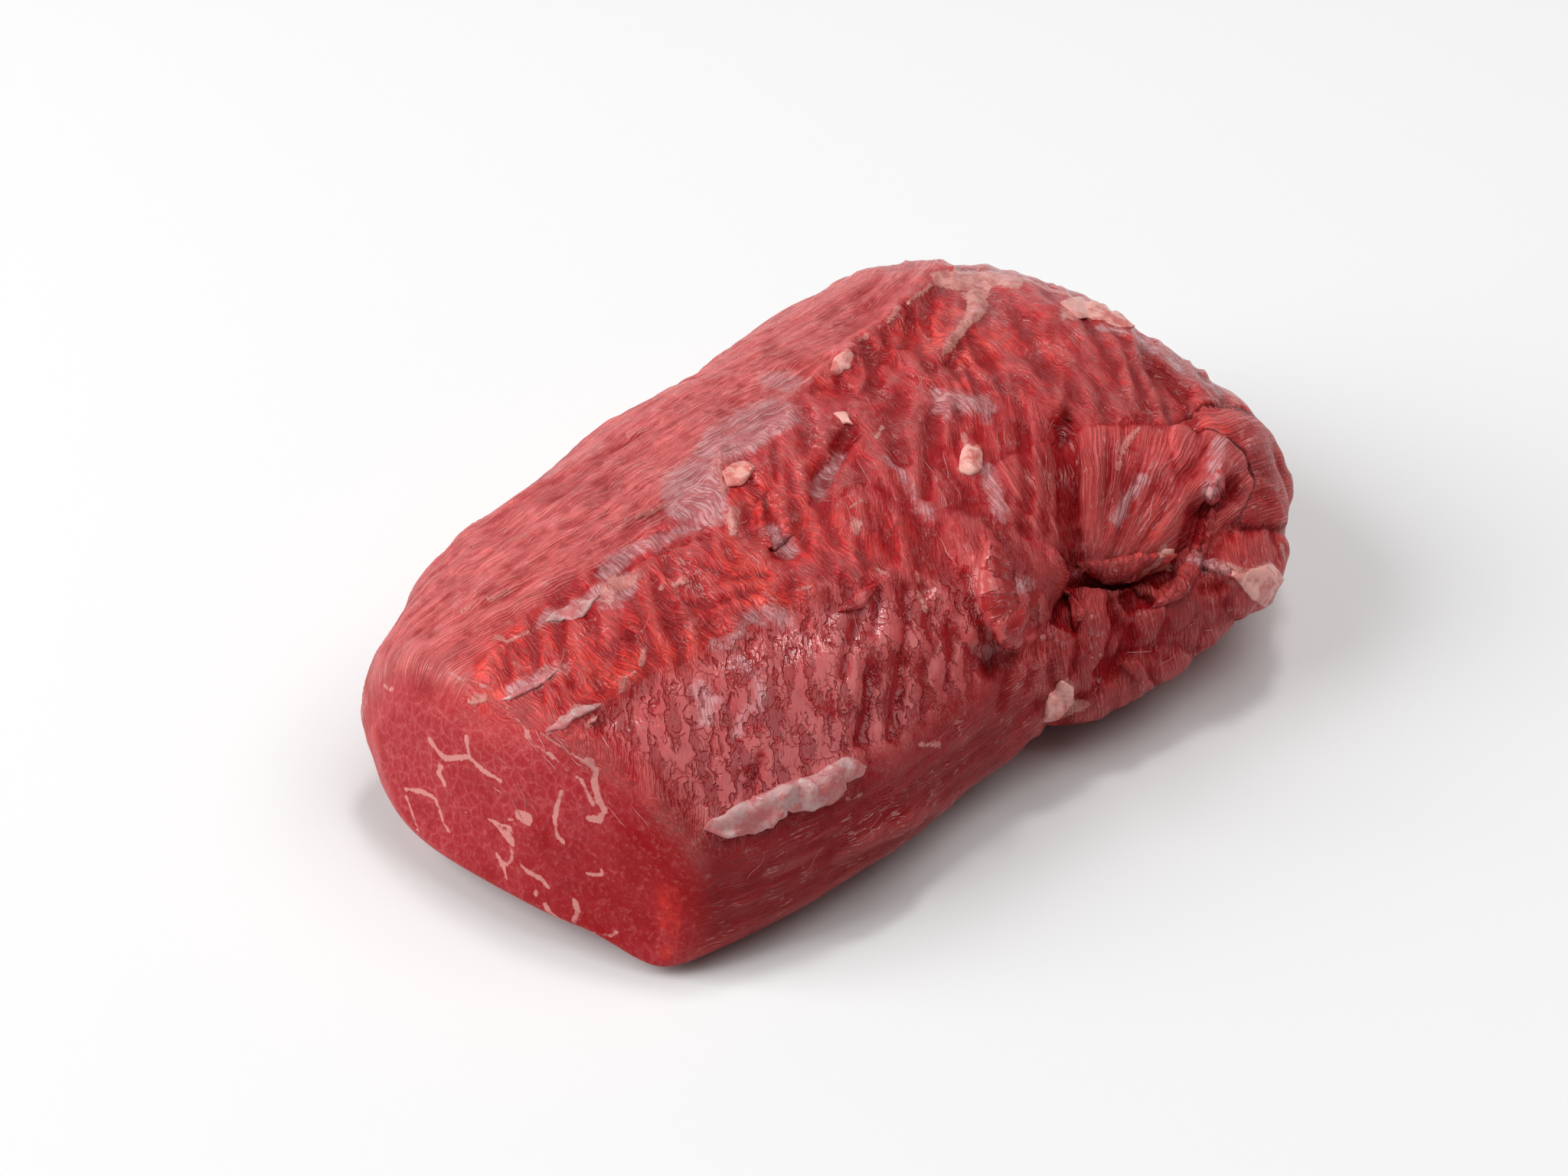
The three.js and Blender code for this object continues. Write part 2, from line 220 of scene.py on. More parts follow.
def formRelief(points):  # bells along creases and ridges, domes on lobes, free swelling
    x, y, z = points[..., 0], points[..., 1], points[..., 2]
    height = 1.3 * noise(x / 52, y / 19, z / 19) + 0.7 * noise(x / 17 + 7, y / 13 + 3, z / 13 + 5)
    deepest = np.zeros(height.shape)
    for path, width, depth in creases:
        deepest = np.maximum(deepest, depth * np.exp(-(distanceTo(points, placesOn(path)) / width) ** 2))
    height -= deepest
    for path, width, rise in ridges:
        height += rise * np.exp(-(distanceTo(points, placesOn(path)) / width) ** 2)
    for along, around, long, wide, turn, rise in lobes:
        angle = math.radians(around)
        lengthways, outwards, upwards = directionsAt(along, angle)
        c, s = math.cos(math.radians(turn)), math.sin(math.radians(turn))
        away = points - bodyPoint(along, angle)
        r = (away @ (c * lengthways + s * upwards) / long) ** 2
        r = r + (away @ (c * upwards - s * lengthways) / wide) ** 2
        height += rise * np.sqrt(np.maximum(0, 1 - r - (away @ outwards / meat["lobeReach"]) ** 2))
    return height


def cornerAngles():  # even by the length of the middle outline, sparser on the underside
    angle = np.linspace(0, 2 * np.pi, 1441)
    ring = bodyPoint(meat["length"] / 2, angle)
    step = np.linalg.norm(np.diff(ring, axis=0), axis=1)
    step = step * np.where(ring[1:, 2] > 0, 1, mesh["undersideShare"])
    total = np.concatenate([[0], np.cumsum(step)])
    return np.interp(np.arange(mesh["corners"]) / mesh["corners"] * total[-1], total, angle)


def gridNormals(grid):  # cross product of the grid's two differences, corners wrap round
    around = np.roll(grid, -1, 1) - np.roll(grid, 1, 1)
    return unit(np.cross(np.gradient(grid, axis=0), around))


angles = cornerAngles()
rimTurn = np.linspace(0, np.pi / 2, mesh["rimRings"], endpoint=False)
endTurn = np.linspace(0, np.pi / 2, mesh["endRings"], endpoint=False)
alongs = np.concatenate([
    meat["rimReach"] * (1 - np.cos(rimTurn)),
    np.linspace(meat["rimReach"], meat["endStart"], mesh["bodyRings"], endpoint=False),
    mix(meat["endStart"], meat["length"], np.sin(endTurn))])
base = bodyPoint(alongs[:, None], angles[None, :])
outwards = directionsAt(alongs[:, None], angles[None, :])[1]
fade = np.clip(base[..., 2] / 6, 0, 1) * np.clip((meat["length"] - alongs) / 3, 0, 1)[:, None]
rimRadius = np.interp(np.degrees(angles), mesh["rimAround"], mesh["rimRadius"])
past = np.clip(1 - alongs[:, None] / rimRadius[None, :], 0, 1)
inset = rimRadius * (1 - np.sqrt(1 - past ** 2))
body = base + outwards * (formRelief(base) * fade - inset)[..., None]
faceShare = np.clip(1 - alongs[:, None] / meat["faceReach"], 0, 1) ** 1.5
body[..., 0] += faceShare * (cutDepth(body[..., 1], body[..., 2]) - cutDepth(base[..., 1], base[..., 2]))
body[..., 2] = np.maximum(0, body[..., 2])

# Where each part of the surface is: degrees round the piece, wrapping on the underside
around = np.degrees(angles)[None, :] * np.ones((len(alongs), 1))
around = np.where(around > 270, around - 360, around)
x, y, z = body[..., 0], body[..., 1], body[..., 2]
steps = np.linalg.norm(np.diff(base, axis=1, append=base[:, :1]), axis=-1)
arc = np.cumsum(steps, axis=1)
arc = np.where(angles[None, :] > 1.5 * np.pi, arc - arc[:, -1:], arc)


# Camera at the photograph's viewing angle
view = {"azimuth": -50, "elevation": 35, "distance": 917, "lens": 70, "sensor": 36,
        "target": (-10.0, 18.6, 28.0)}
photo = {"width": 2048, "height": 1536}


def cameraAxes():  # the picture's right, its up and the way back to the camera
    az, el = math.radians(view["azimuth"]), math.radians(view["elevation"])
    back = np.array([math.sin(az) * math.cos(el), -math.cos(az) * math.cos(el), math.sin(el)])
    right = unit(np.cross(-back, [0, 0, 1]))
    return right, np.cross(right, -back), back


camRight, camUp, camBack = cameraAxes()
camPlace = np.array(view["target"]) + camBack * view["distance"]


def toPhoto(points):  # perspective: pixel = focal * offset / depth from the middle of the picture
    away = points - camPlace
    depth = -(away @ camBack)
    focal = view["lens"] / view["sensor"] * photo["width"]
    return (photo["width"] / 2 + focal * (away @ camRight) / depth,
            photo["height"] / 2 - focal * (away @ camUp) / depth, depth)


# Regions, each from 0 to 1: the fibrous left slope, the crackled film, the fluted band, the low right wall
regions = {"seamAlong": [0, 43, 93, 149, 179, 224, 260, 304],
           "seamAround": [94, 91, 90, 107, 121, 132, 142, 150],
           "seamBlend": 9, "filmAlong": [0, 60, 90, 110, 135, 158], "filmTop": [52, 47, 44, 39, 31, 26]}


def zone(low, high, bottom, top, softAlong=14, softAround=8):  # 1 inside a stretch of along and around
    far = alongs[:, None]
    ends = smooth((far - low) / softAlong + 0.5) * smooth((high - far) / softAlong + 0.5)
    return ends * smooth((around - bottom) / softAround + 0.5) * smooth((top - around) / softAround + 0.5)


def inLobe(points, index, grow=1.0):  # 1 inside a lobe's ellipsoid, 0 outside
    along, aroundDeg, long, wide, turn, _ = lobes[index]
    lengthways, outward, upwards = directionsAt(along, math.radians(aroundDeg))
    c, s = math.cos(math.radians(turn)), math.sin(math.radians(turn))
    away = points - bodyPoint(along, math.radians(aroundDeg))
    r = (away @ (c * lengthways + s * upwards) / (long * grow)) ** 2
    r = r + (away @ (c * upwards - s * lengthways) / (wide * grow)) ** 2
    r = r + (away @ outward / meat["lobeReach"]) ** 2
    return smooth((1 - r) * 4)


seamAround = np.interp(alongs, regions["seamAlong"], regions["seamAround"])[:, None]
slope = smooth((around - seamAround) / regions["seamBlend"] + 0.5) + smooth((-60 - around) / 20)
fan = inLobe(body, 0, 1.1)
outerLobe = inLobe(body, 1, 1.05) * (1 - fan)
lowWall = zone(-20, 150, -80, 13) * (1 - fan)
filmTop = np.interp(alongs, regions["filmAlong"], regions["filmTop"])[:, None]
crackle = zone(8, 158, 13, 90) * smooth((filmTop - around) / 7 + 0.5) * (1 - slope)
flutes = zone(122, 212, 26, 64) * (1 - fan) * (1 - slope)
lowLumps = zone(140, 300, -80, 20) * (1 - fan) * (1 - outerLobe)
middle = np.clip(1 - slope - fan - outerLobe - lowWall - crackle - flutes - lowLumps, 0, 1)

# Grain: along and across the fibres in mm, one pair for each way that the fibres run
side, rise = body @ camRight, body @ camUp
fanPivot = placesOn([(170, 16)])[0]
fanSide, fanRise = (body - fanPivot) @ camRight, (body - fanPivot) @ camUp + 5
lengthFibre = np.stack([x, arc, 0 * x], -1)
uprightFibre = np.stack([rise, side + 0.12 * rise, 0 * x + 31], -1)
slantFibre = np.stack([0.77 * side - 0.64 * rise, 0.64 * side + 0.77 * rise, 0 * x + 53], -1)
fanFibre = np.stack([np.hypot(fanSide, fanRise), np.arctan2(fanSide, fanRise) * 48, 0 * x + 67], -1)
lobeFibre = np.stack([side + 0.3 * rise, rise - 0.3 * side, 0 * x + 83], -1)
fanFibre = np.where(outerLobe[..., None] > 0.5, lobeFibre, fanFibre)


def streaks(fibre, length, across, seed=0.0, count=2, wander=0.8):  # noise drawn out along the fibres
    bend = wander * noise(fibre[..., 0] / 22, fibre[..., 1] / 14, fibre[..., 2] + seed + 5)
    return octaves(fibre[..., 0] / length, fibre[..., 1] / across + bend, fibre[..., 2] + seed, count)


def fineRelief():  # ridges along the slope, lumps with sharp valleys, flutes up the right side
    billow = np.abs(octaves(side / 11 + 4, rise / 16, z / 14, 3))
    sway = 0.5 * noise(side / 30, rise / 24, z / 30 + 8)
    ropes = 1 - np.abs(octaves(side / 7.5 + 0.03 * rise + sway, rise / 26, z / 40 + 6, 2)) * 1.6
    lumps = np.abs(octaves(side / 9, rise / 12, z / 12 + 3, 3))
    height = 0.85 * streaks(lengthFibre, 30, 6) + 0.6 * np.abs(streaks(lengthFibre, 18, 3.2, 3))
    height = slope * (height + 0.7 * billow)
    height = height + middle * (1.2 * billow + 1.5 * ropes + 0.45 * streaks(slantFibre, 12, 3.4, 8))
    height = height + crackle * (0.5 * billow + 0.35 * ropes)
    height = height + flutes * (0.75 * streaks(uprightFibre, 30, 3.6, 4) + 0.9 * ropes)
    height = height + fan * 0.8 * streaks(fanFibre, 34, 3.4, 12)
    height = height + outerLobe * 0.5 * streaks(fanFibre, 14, 4.0, 14)
    height = height + lowWall * 0.35 * streaks(lengthFibre, 22, 3.0, 2)
    height = height + lowLumps * (1.5 * lumps + 0.4 * streaks(uprightFibre, 12, 3.2, 7))
    return height * fade * np.clip(alongs / 6, 0, 1)[:, None]


body = body + gridNormals(body) * fineRelief()[..., None]

# The cut face: the rim drawn in towards the middle, slightly hollow and uneven
rim = body[0].copy()
rim[:, 0] = cutDepth(rim[:, 1], rim[:, 2])
body[0] = rim
share = np.sqrt(np.arange(1, mesh["faceRings"] + 1) / (mesh["faceRings"] + 1))[:, None]
faceY, faceZ = mix(meat["faceMiddle"][0], rim[:, 1], share), mix(meat["faceMiddle"][1], rim[:, 2], share)
uneven = 0.9 * noise(faceY / 24, faceZ / 24, 0.5 + 0 * faceY)
uneven = uneven + 0.5 * octaves(faceY / 8, faceZ / 6, 0 * faceY + 4, 3)
faceX = cutDepth(faceY, faceZ) + (1 - share ** 2) * (meat["faceDish"] + uneven)
face = np.stack([faceX, faceY, faceZ], -1)
grid = np.concatenate([face, body])
shift = -(grid.min((0, 1)) + grid.max((0, 1))) / 2
shift[2] = 0
grid = grid + shift
isFace = np.concatenate([np.ones(face.shape[:2]), np.zeros(body.shape[:2])])


def faceRows(values, fill=0.0):  # adds rows for the cut face in front of the body's rows
    return np.concatenate([np.full(face.shape[:2] + values.shape[2:], fill), values])


def softened(points, weight, times):  # each point moved towards its four neighbours' mean, again and again
    for _ in range(times):
        mean = (np.roll(points, 1, 1) + np.roll(points, -1, 1)) / 4
        mean[1:-1] += (points[2:] + points[:-2]) / 4
        mean[0], mean[-1] = points[0], points[-1]
        points = mix(points, mean, weight)
    return points


fromRim = np.linalg.norm(grid - grid[mesh["faceRings"]][None], axis=-1)
nearRim = np.exp(-(fromRim / 7) ** 2) * np.clip((grid[..., 2] - 1.5) / 6, 0, 1)
grid = softened(grid, 0.8 * nearRim[..., None], 40)
faceness = smooth(1.15 - fromRim / 11) * np.clip((grid[..., 2] - 1) / 4, 0, 1)
faceness = np.where(isFace > 0, 1.0, faceness)
print("stage: main form", grid.reshape(-1, 3).min(0), grid.reshape(-1, 3).max(0))


def lookAgain():  # normals, photograph pixels and depth of every point of the grid
    normals = gridNormals(grid)
    pixelX, pixelY, depth = toPhoto(grid)
    return normals, pixelX, pixelY, depth, (normals * unit(camPlace - grid)).sum(-1)


allNormals, pixelX, pixelY, depth, facing = lookAgain()


def anchor(px, py):  # the visible grid point nearest to a pixel of the photograph
    away = np.hypot(pixelX - px, pixelY - py)
    near = away < max(5.0, away.min() + 2)
    front = depth[near].min()
    score = np.where(near & (depth < front + 8), away, 1e9)
    return np.unravel_index(np.argmin(score), score.shape)


def placesAt(path):  # the visible grid points under a path of pixels
    return np.array([grid[anchor(*pixel)] for pixel in path])


# Deeper folds: width and depth or height in mm, and a path in pixels of the photograph
grooves = [
    (1.8, 2.4, [(1398, 545), (1400, 600), (1402, 650), (1405, 700)]),
    (1.3, 1.1, [(1368, 575), (1370, 640), (1366, 690)]),
    (1.3, 1.0, [(1341, 560), (1343, 643), (1341, 700)]),
    (1.1, 0.7, [(1318, 590), (1316, 650), (1314, 700)]),
    (2.0, 2.4, [(1262, 752), (1275, 790), (1293, 822), (1308, 848), (1325, 852)]),
    (1.6, 1.1, [(1302, 705), (1306, 760), (1316, 800)]),
    (3.0, 1.8, [(1108, 562), (1097, 595), (1078, 625), (1060, 650)]),
    (2.0, 1.3, [(1003, 640), (1000, 690), (1014, 724), (1030, 724)]),
    (3.5, 2.0, [(1172, 512), (1176, 560), (1180, 600)]),
    (2.4, 1.6, [(1217, 475), (1222, 510), (1215, 550), (1213, 600), (1210, 645)]),
    (2.0, 1.1, [(1150, 740), (1148, 790), (1138, 825)]),
    (1.6, 1.1, [(1182, 765), (1186, 800), (1178, 850)]),
    (1.7, 1.2, [(1126, 795), (1112, 850), (1102, 880)]),
    (2.0, 1.4, [(1174, 866), (1169, 920), (1163, 965)]),
    (2.2, 1.5, [(1133, 885), (1129, 930), (1122, 968)]),
    (1.5, 0.9, [(1210, 870), (1205, 940)]),
    (1.5, 1.0, [(1243, 830), (1236, 900)]),
    (1.5, 1.0, [(1275, 850), (1268, 905)]),
    (1.2, 0.9, [(995, 985), (985, 1020), (979, 1045)]),
    (1.8, 1.0, [(1075, 718), (1090, 745), (1110, 775)]),
    (1.3, 1.0, [(838, 730), (880, 710), (925, 700)]),
    (1.1, 0.8, [(862, 700), (900, 690), (930, 684)]),
    (3.0, 1.6, [(1098, 502), (1120, 513), (1142, 500)]),
    (2.0, 1.4, [(1128, 438), (1138, 458)]),
    (2.2, 1.6, [(1150, 418), (1158, 446), (1150, 470)]),
    (2.0, 1.4, [(1185, 400), (1190, 425), (1178, 450)]),
    (2.0, 1.3, [(1215, 385), (1212, 420)]),
    (2.4, 1.6, [(1262, 425), (1248, 452), (1240, 474)]),
    (2.2, 2.2, [(1471, 792), (1477, 830), (1466, 862), (1440, 897)]),
    (2.0, 1.6, [(1405, 812), (1409, 850), (1398, 885)]),
    (1.9, 1.1, [(1352, 845), (1345, 895)]),
    (1.8, 1.0, [(1322, 858), (1310, 920)]),
    (2.0, 1.6, [(1540, 762), (1575, 768), (1606, 763)]),
    (2.3, 2.2, [(1574, 655), (1567, 700), (1561, 744)]),
    (2.0, 1.7, [(1606, 650), (1588, 660), (1574, 680)]),
    (1.8, 1.3, [(1498, 852), (1530, 862), (1562, 850)]),
    (1.6, 1.0, [(1522, 790), (1515, 835)]),
    (1.3, 0.8, [(1615, 652), (1640, 638), (1660, 652)]),
    (1.8, 1.2, [(1660, 690), (1675, 722), (1689, 742)]),
    (1.8, 3.0, [(1420, 756), (1450, 762), (1485, 752), (1530, 750)]),
    (3.0, 4.5, [(1484, 770), (1497, 784)]),
    (2.0, 1.4, [(1450, 430), (1500, 470), (1560, 512)]),
    (1.8, 1.0, [(880, 785), (930, 790), (985, 770)]),
    (1.6, 0.9, [(905, 735), (960, 755), (1000, 750)]),
]
folds = [
    (1.5, 1.0, [(598, 800), (640, 782), (674, 769)]),
    (1.5, 0.9, [(788, 692), (820, 678), (868, 661)]),
    (1.4, 0.7, [(638, 716), (690, 700)]),
    (1.3, 0.6, [(690, 722), (760, 690)]),
    (3.2, 2.2, [(1086, 485), (1098, 468), (1110, 459)]),
    (2.6, 1.8, [(1158, 420), (1176, 403)]),
    (2.6, 1.6, [(1124, 442), (1148, 424)]),
    (2.4, 1.8, [(1188, 393), (1215, 374)]),
    (2.6, 1.9, [(1268, 385), (1276, 405), (1262, 425), (1245, 446), (1235, 464)]),
    (3.2, 2.6, [(1290, 706), (1284, 735), (1285, 768), (1299, 805), (1322, 840)]),
    (3.0, 1.6, [(1560, 528), (1581, 552), (1579, 575), (1560, 594)]),
    (3.4, 2.2, [(1592, 608), (1576, 640), (1563, 690), (1551, 735), (1530, 770), (1507, 796)]),
    (2.0, 1.3, [(1560, 737), (1590, 740), (1614, 757)]),
    (1.8, 1.1, [(1612, 656), (1640, 630), (1665, 645), (1673, 676)]),
    (3.2, 1.8, [(1608, 750), (1640, 746), (1664, 760)]),
    (2.0, 1.5, [(1465, 867), (1485, 876), (1502, 894)]),
    (3.0, 1.6, [(1390, 888), (1396, 905), (1374, 926)]),
    (3.0, 1.3, [(1083, 500), (1087, 530), (1100, 560)]),
    (3.2, 1.7, [(1267, 586), (1268, 616)]),
    (3.0, 0.9, [(1224, 520), (1282, 528)]),
    (1.6, 1.1, [(941, 585), (938, 612), (946, 640)]),
    (1.7, 1.0, [(950, 660), (958, 702)]),
    (3.0, 1.0, [(955, 600), (1000, 577), (1042, 562)]),
    (2.6, 1.4, [(1095, 1122), (1147, 1091), (1194, 1071), (1240, 1045)]),
    (2.0, 0.7, [(716, 806), (762, 787)]),
    (2.6, 1.0, [(786, 768), (832, 750)]),
    (2.0, 0.9, [(866, 766), (892, 759)]),
    (2.4, 1.0, [(1120, 655), (1122, 695)]),
    (3.0, 1.2, [(1205, 755), (1225, 770), (1207, 795)]),
]


def carved():  # bells taken from or added to the surface, with the paths a little ragged
    height = np.zeros(grid.shape[:2])
    ragged = 0.25 * octaves(grid[..., 0] / 5, grid[..., 1] / 5, grid[..., 2] / 5, 2)
    for width, depth, path in grooves:
        away = distanceTo(grid, placesAt(path))
        height -= depth * (1 + ragged) * np.exp(-(away * (1 + ragged) / width) ** 2)
    for width, rise, path in folds:
        away = distanceTo(grid, placesAt(path))
        height += rise * (1 + ragged) * np.exp(-(away * (1 + ragged) / width) ** 2)
    return height


grid = grid + allNormals * (carved() * np.clip(grid[..., 2] / 4, 0, 1))[..., None]
grid[..., 2] = np.maximum(0, grid[..., 2])
allNormals, pixelX, pixelY, depth, facing = lookAgain()
print("stage: folds carved")


def strokeField(strokes):  # half width minus distance, in mm: positive inside a stroke
    field = np.full(grid.shape[:2], -9.0)
    for width, path in strokes:
        field = np.maximum(field, width / 2 - distanceTo(grid, placesAt(path)))
    return field


def patchField(patches):  # signed distance to an outline in the photograph, in mm: positive inside
    field = np.full(grid.shape[:2], -9.0)
    scale = view["distance"] * view["sensor"] / view["lens"] / photo["width"]
    for outline in patches:
        corners = np.array(outline, float)
        middlePoint = grid[anchor(*corners.mean(0))]
        reach = np.hypot(*(corners - corners.mean(0)).T).max() * scale * 1.6 + 12
        inside = np.zeros(grid.shape[:2], bool)
        least = np.full(grid.shape[:2], 1e9)
        for (ax, ay), (bx, by) in zip(corners, np.roll(corners, -1, 0)):
            t = (pixelX - ax) * (bx - ax) + (pixelY - ay) * (by - ay)
            t = np.clip(t / ((bx - ax) ** 2 + (by - ay) ** 2), 0, 1)
            least = np.minimum(least, np.hypot(pixelX - ax - t * (bx - ax), pixelY - ay - t * (by - ay)))
            crosses = (ay > pixelY) != (by > pixelY)
            inside ^= crosses & (pixelX < ax + (pixelY - ay) * (bx - ax) / (by - ay if by != ay else 1e-9))
        signed = np.where(inside, least, -least) * scale
        seen = (np.linalg.norm(grid - middlePoint, axis=-1) < reach) & (facing > 0)
        field = np.maximum(field, np.where(seen, signed, -9.0))
    return field


def glow(spots):  # soft round spots: strength * exp(-(distance / radius)^2)
    total = np.zeros(grid.shape[:2])
    for px, py, radius, strength in spots:
        total += strength * np.exp(-(np.linalg.norm(grid - grid[anchor(px, py)], axis=-1) / radius) ** 2)
    return total


# Marbling on the cut face: width in mm and pixels of the photograph
marbling = [
    (1.2, [(560, 966), (574, 983), (582, 991), (613, 989), (633, 1008), (654, 1020)]),
    (0.9, [(608, 963), (613, 987)]),
    (1.3, [(577, 1002), (574, 1010), (582, 1026)]),
    (1.0, [(529, 1030), (550, 1034), (566, 1040)]),
    (0.7, [(530, 1040), (538, 1061), (548, 1091)]),
    (0.9, [(568, 1045), (576, 1069), (587, 1087)]),
    (0.5, [(611, 1061), (638, 1070), (666, 1072)]),
    (0.9, [(669, 1079), (671, 1102), (668, 1122), (659, 1134)]),
    (0.7, [(650, 1116), (659, 1134), (659, 1147)]),
    (1.0, [(733, 1032), (724, 1067), (727, 1089), (735, 1100)]),
    (0.8, [(680, 1128), (691, 1140), (707, 1147), (717, 1159)]),
    (0.8, [(712, 1181), (717, 1191), (735, 1204), (748, 1214)]),
    (1.1, [(750, 1177), (756, 1191), (749, 1202)]),
    (0.6, [(764, 1142), (786, 1144), (787, 1136)]),
    (1.5, [(771, 993), (780, 1008), (776, 1024), (784, 1044), (790, 1057), (784, 1069), (769, 1068)]),
    (0.4, [(718, 1193), (741, 1208), (771, 1218), (798, 1222), (808, 1217)]),
    (0.8, [(502, 895), (509, 903), (513, 901)]),
    (3.2, [(678, 1066), (690, 1070)]),
    (1.2, [(699, 1165), (700, 1167)]),
    (0.5, [(690, 960), (720, 990), (757, 1020), (775, 1050)]),
    (0.5, [(705, 958), (735, 975), (770, 1003)]),
    (0.5, [(660, 925), (690, 955)]),
    (0.5, [(560, 870), (600, 885), (640, 900)]),
]
fatStrokes = [
    (1.8, [(836, 867), (841, 850)]),
    (1.2, [(831, 877), (816, 889), (810, 904)]),
    (1.8, [(716, 955), (733, 940), (753, 924), (771, 924), (782, 922)]),
    (1.2, [(771, 947), (778, 934)]),
    (2.0, [(613, 918), (633, 912)]),
    (2.0, [(676, 908), (700, 893), (725, 879)]),
    (3.4, [(1300, 358), (1325, 362), (1366, 378), (1398, 386)]),
    (1.6, [(1160, 420), (1176, 403)]),
    (1.6, [(1188, 393), (1215, 374)]),
    (1.4, [(1124, 442), (1148, 426)]),
    (1.6, [(1257, 567), (1264, 584)]),
    (1.6, [(1144, 573), (1152, 559)]),
    (1.4, [(941, 589), (938, 607), (946, 640)]),
    (1.6, [(1486, 559), (1470, 580), (1461, 612)]),
    (3.0, [(1482, 748), (1498, 738), (1522, 716)]),
    (2.4, [(1512, 742), (1528, 742)]),
    (3.6, [(1604, 742), (1625, 752), (1662, 742)]),
    (4.0, [(1640, 770), (1664, 782)]),
    (2.0, [(1676, 712), (1688, 742)]),
    (2.0, [(1395, 888), (1398, 900)]),
    (0.8, [(1670, 560), (1684, 597), (1690, 648)]),
    (0.8, [(1617, 640), (1641, 629), (1662, 638)]),
    (1.2, [(604, 800), (645, 780), (680, 768)]),
    (0.8, [(647, 716), (688, 700)]),
    (1.3, [(820, 678), (850, 668), (868, 661)]),
    (1.8, [(865, 770), (880, 766), (892, 758)]),
    (1.0, [(895, 762), (935, 750)]),
    (1.2, [(1113, 660), (1127, 652)]),
    (1.4, [(1196, 746), (1200, 760)]),
    (2.0, [(1202, 776), (1207, 796)]),
    (1.2, [(1148, 742), (1153, 750)]),
    (1.6, [(648, 832), (664, 836), (688, 828)]),
    (1.0, [(1040, 770), (1060, 766)]),
    (1.2, [(1363, 835), (1366, 831)]),
    (0.7, [(1107, 1041), (1124, 1039)]),
    (1.4, [(1200, 972), (1226, 975)]),
]
fatPatches = [
    [(1215, 356), (1250, 352), (1300, 354), (1340, 366), (1330, 378), (1298, 372), (1292, 386),
     (1240, 378), (1222, 372)],
    [(1255, 380), (1288, 384), (1292, 400), (1283, 415), (1268, 427), (1254, 444), (1244, 463),
     (1231, 464), (1235, 447),
     (1248, 430), (1260, 414), (1262, 398)],
    [(1385, 395), (1402, 389), (1442, 397), (1462, 412), (1480, 426), (1458, 427), (1440, 417),
     (1410, 414), (1388, 418)],
    [(1262, 583), (1278, 583), (1280, 600), (1279, 619), (1262, 620), (1252, 614), (1257, 596)],
    [(1085, 482), (1092, 468), (1107, 456), (1114, 465), (1109, 480), (1092, 492)],
    [(784, 768), (800, 752), (834, 750), (830, 764), (806, 772), (800, 790), (788, 788)],
    [(950, 660), (968, 664), (962, 701), (953, 700), (948, 680)],
    [(1112, 672), (1128, 684), (1122, 698), (1112, 694)],
    [(1366, 942), (1370, 912), (1386, 890), (1400, 896), (1398, 912), (1430, 918), (1400, 934)],
    [(1606, 742), (1628, 750), (1664, 738), (1672, 758), (1668, 778), (1650, 792), (1632, 780),
     (1620, 764)],
]
# Silverskin and bluish film
filmStrokes = [
    (5, [(716, 806), (755, 788), (780, 772)]),
    (6, [(790, 752), (820, 726), (859, 708), (906, 690)]),
    (3, [(935, 842), (957, 845), (974, 868), (990, 890), (997, 914)]),
    (2, [(997, 914), (982, 925), (962, 955)]),
    (4, [(1098, 600), (1086, 615), (1066, 645)]),
    (5, [(1006, 696), (1022, 708), (1030, 722)]),
    (3, [(1161, 601), (1186, 627), (1202, 656), (1216, 676)]),
    (3, [(1492, 622), (1476, 647), (1459, 678)]),
    (4, [(1440, 428), (1493, 446), (1533, 475), (1564, 490), (1590, 512)]),
    (4, [(1290, 612), (1300, 636), (1306, 672)]),
    (5, [(672, 900), (700, 888), (725, 876)]),
    (5, [(985, 806), (1010, 800), (1026, 808)]),
    (2.5, [(955, 836), (985, 808)]),
    (5, [(912, 902), (925, 912), (924, 938)]),
    (4, [(1596, 578), (1588, 610), (1578, 640)]),
    (4, [(1560, 737), (1590, 740), (1614, 757)]),
    (3, [(1325, 770), (1345, 760)]),
]
filmPatches = [
    [(925, 560), (960, 540), (1000, 520), (1012, 515), (1042, 533), (1048, 548), (1003, 574),
     (985, 592), (950, 602), (900, 600)],
    [(862, 628), (888, 606), (935, 596), (948, 640), (950, 684), (900, 690), (868, 668)],
    [(1218, 505), (1246, 513), (1290, 518), (1302, 532), (1292, 550), (1270, 535), (1245, 536),
     (1235, 546), (1222, 536)],
    [(990, 488), (1030, 486), (1060, 498), (1030, 512), (1000, 508)],
    [(780, 764), (800, 746), (838, 748), (832, 772), (806, 792), (786, 792)],
]
veinField = strokeField(marbling) + 0.12
fatField = np.maximum(strokeField(fatStrokes), patchField(fatPatches))
filmField = np.maximum(strokeField(filmStrokes), patchField(filmPatches))

# The unseen back: darker low down, with seams of fat and patches of film. Places as (along, around)
back = {"from": 158, "blend": 26, "darker": 0.45, "redder": 0.5, "filmStep": (30, 12), "filmShare": 0.42,
        "seams": [(2.4, [(48, 196), (95, 204), (150, 198), (205, 207), (262, 200)]),
                  (1.2, [(110, 176), (160, 184), (228, 178)]), (1.4, [(70, 216), (120, 222), (170, 214)])]}


def alongBack(path):  # grid points along a path, read at forty places
    t = np.linspace(0, len(path) - 1, 40)
    far, turn = (np.interp(t, np.arange(len(path)), values) for values in np.array(path, float).T)
    row = mesh["faceRings"] + np.searchsorted(alongs, far)
    col = np.abs(around[0][None, :] - turn[:, None]).argmin(1)
    return grid[row, col]


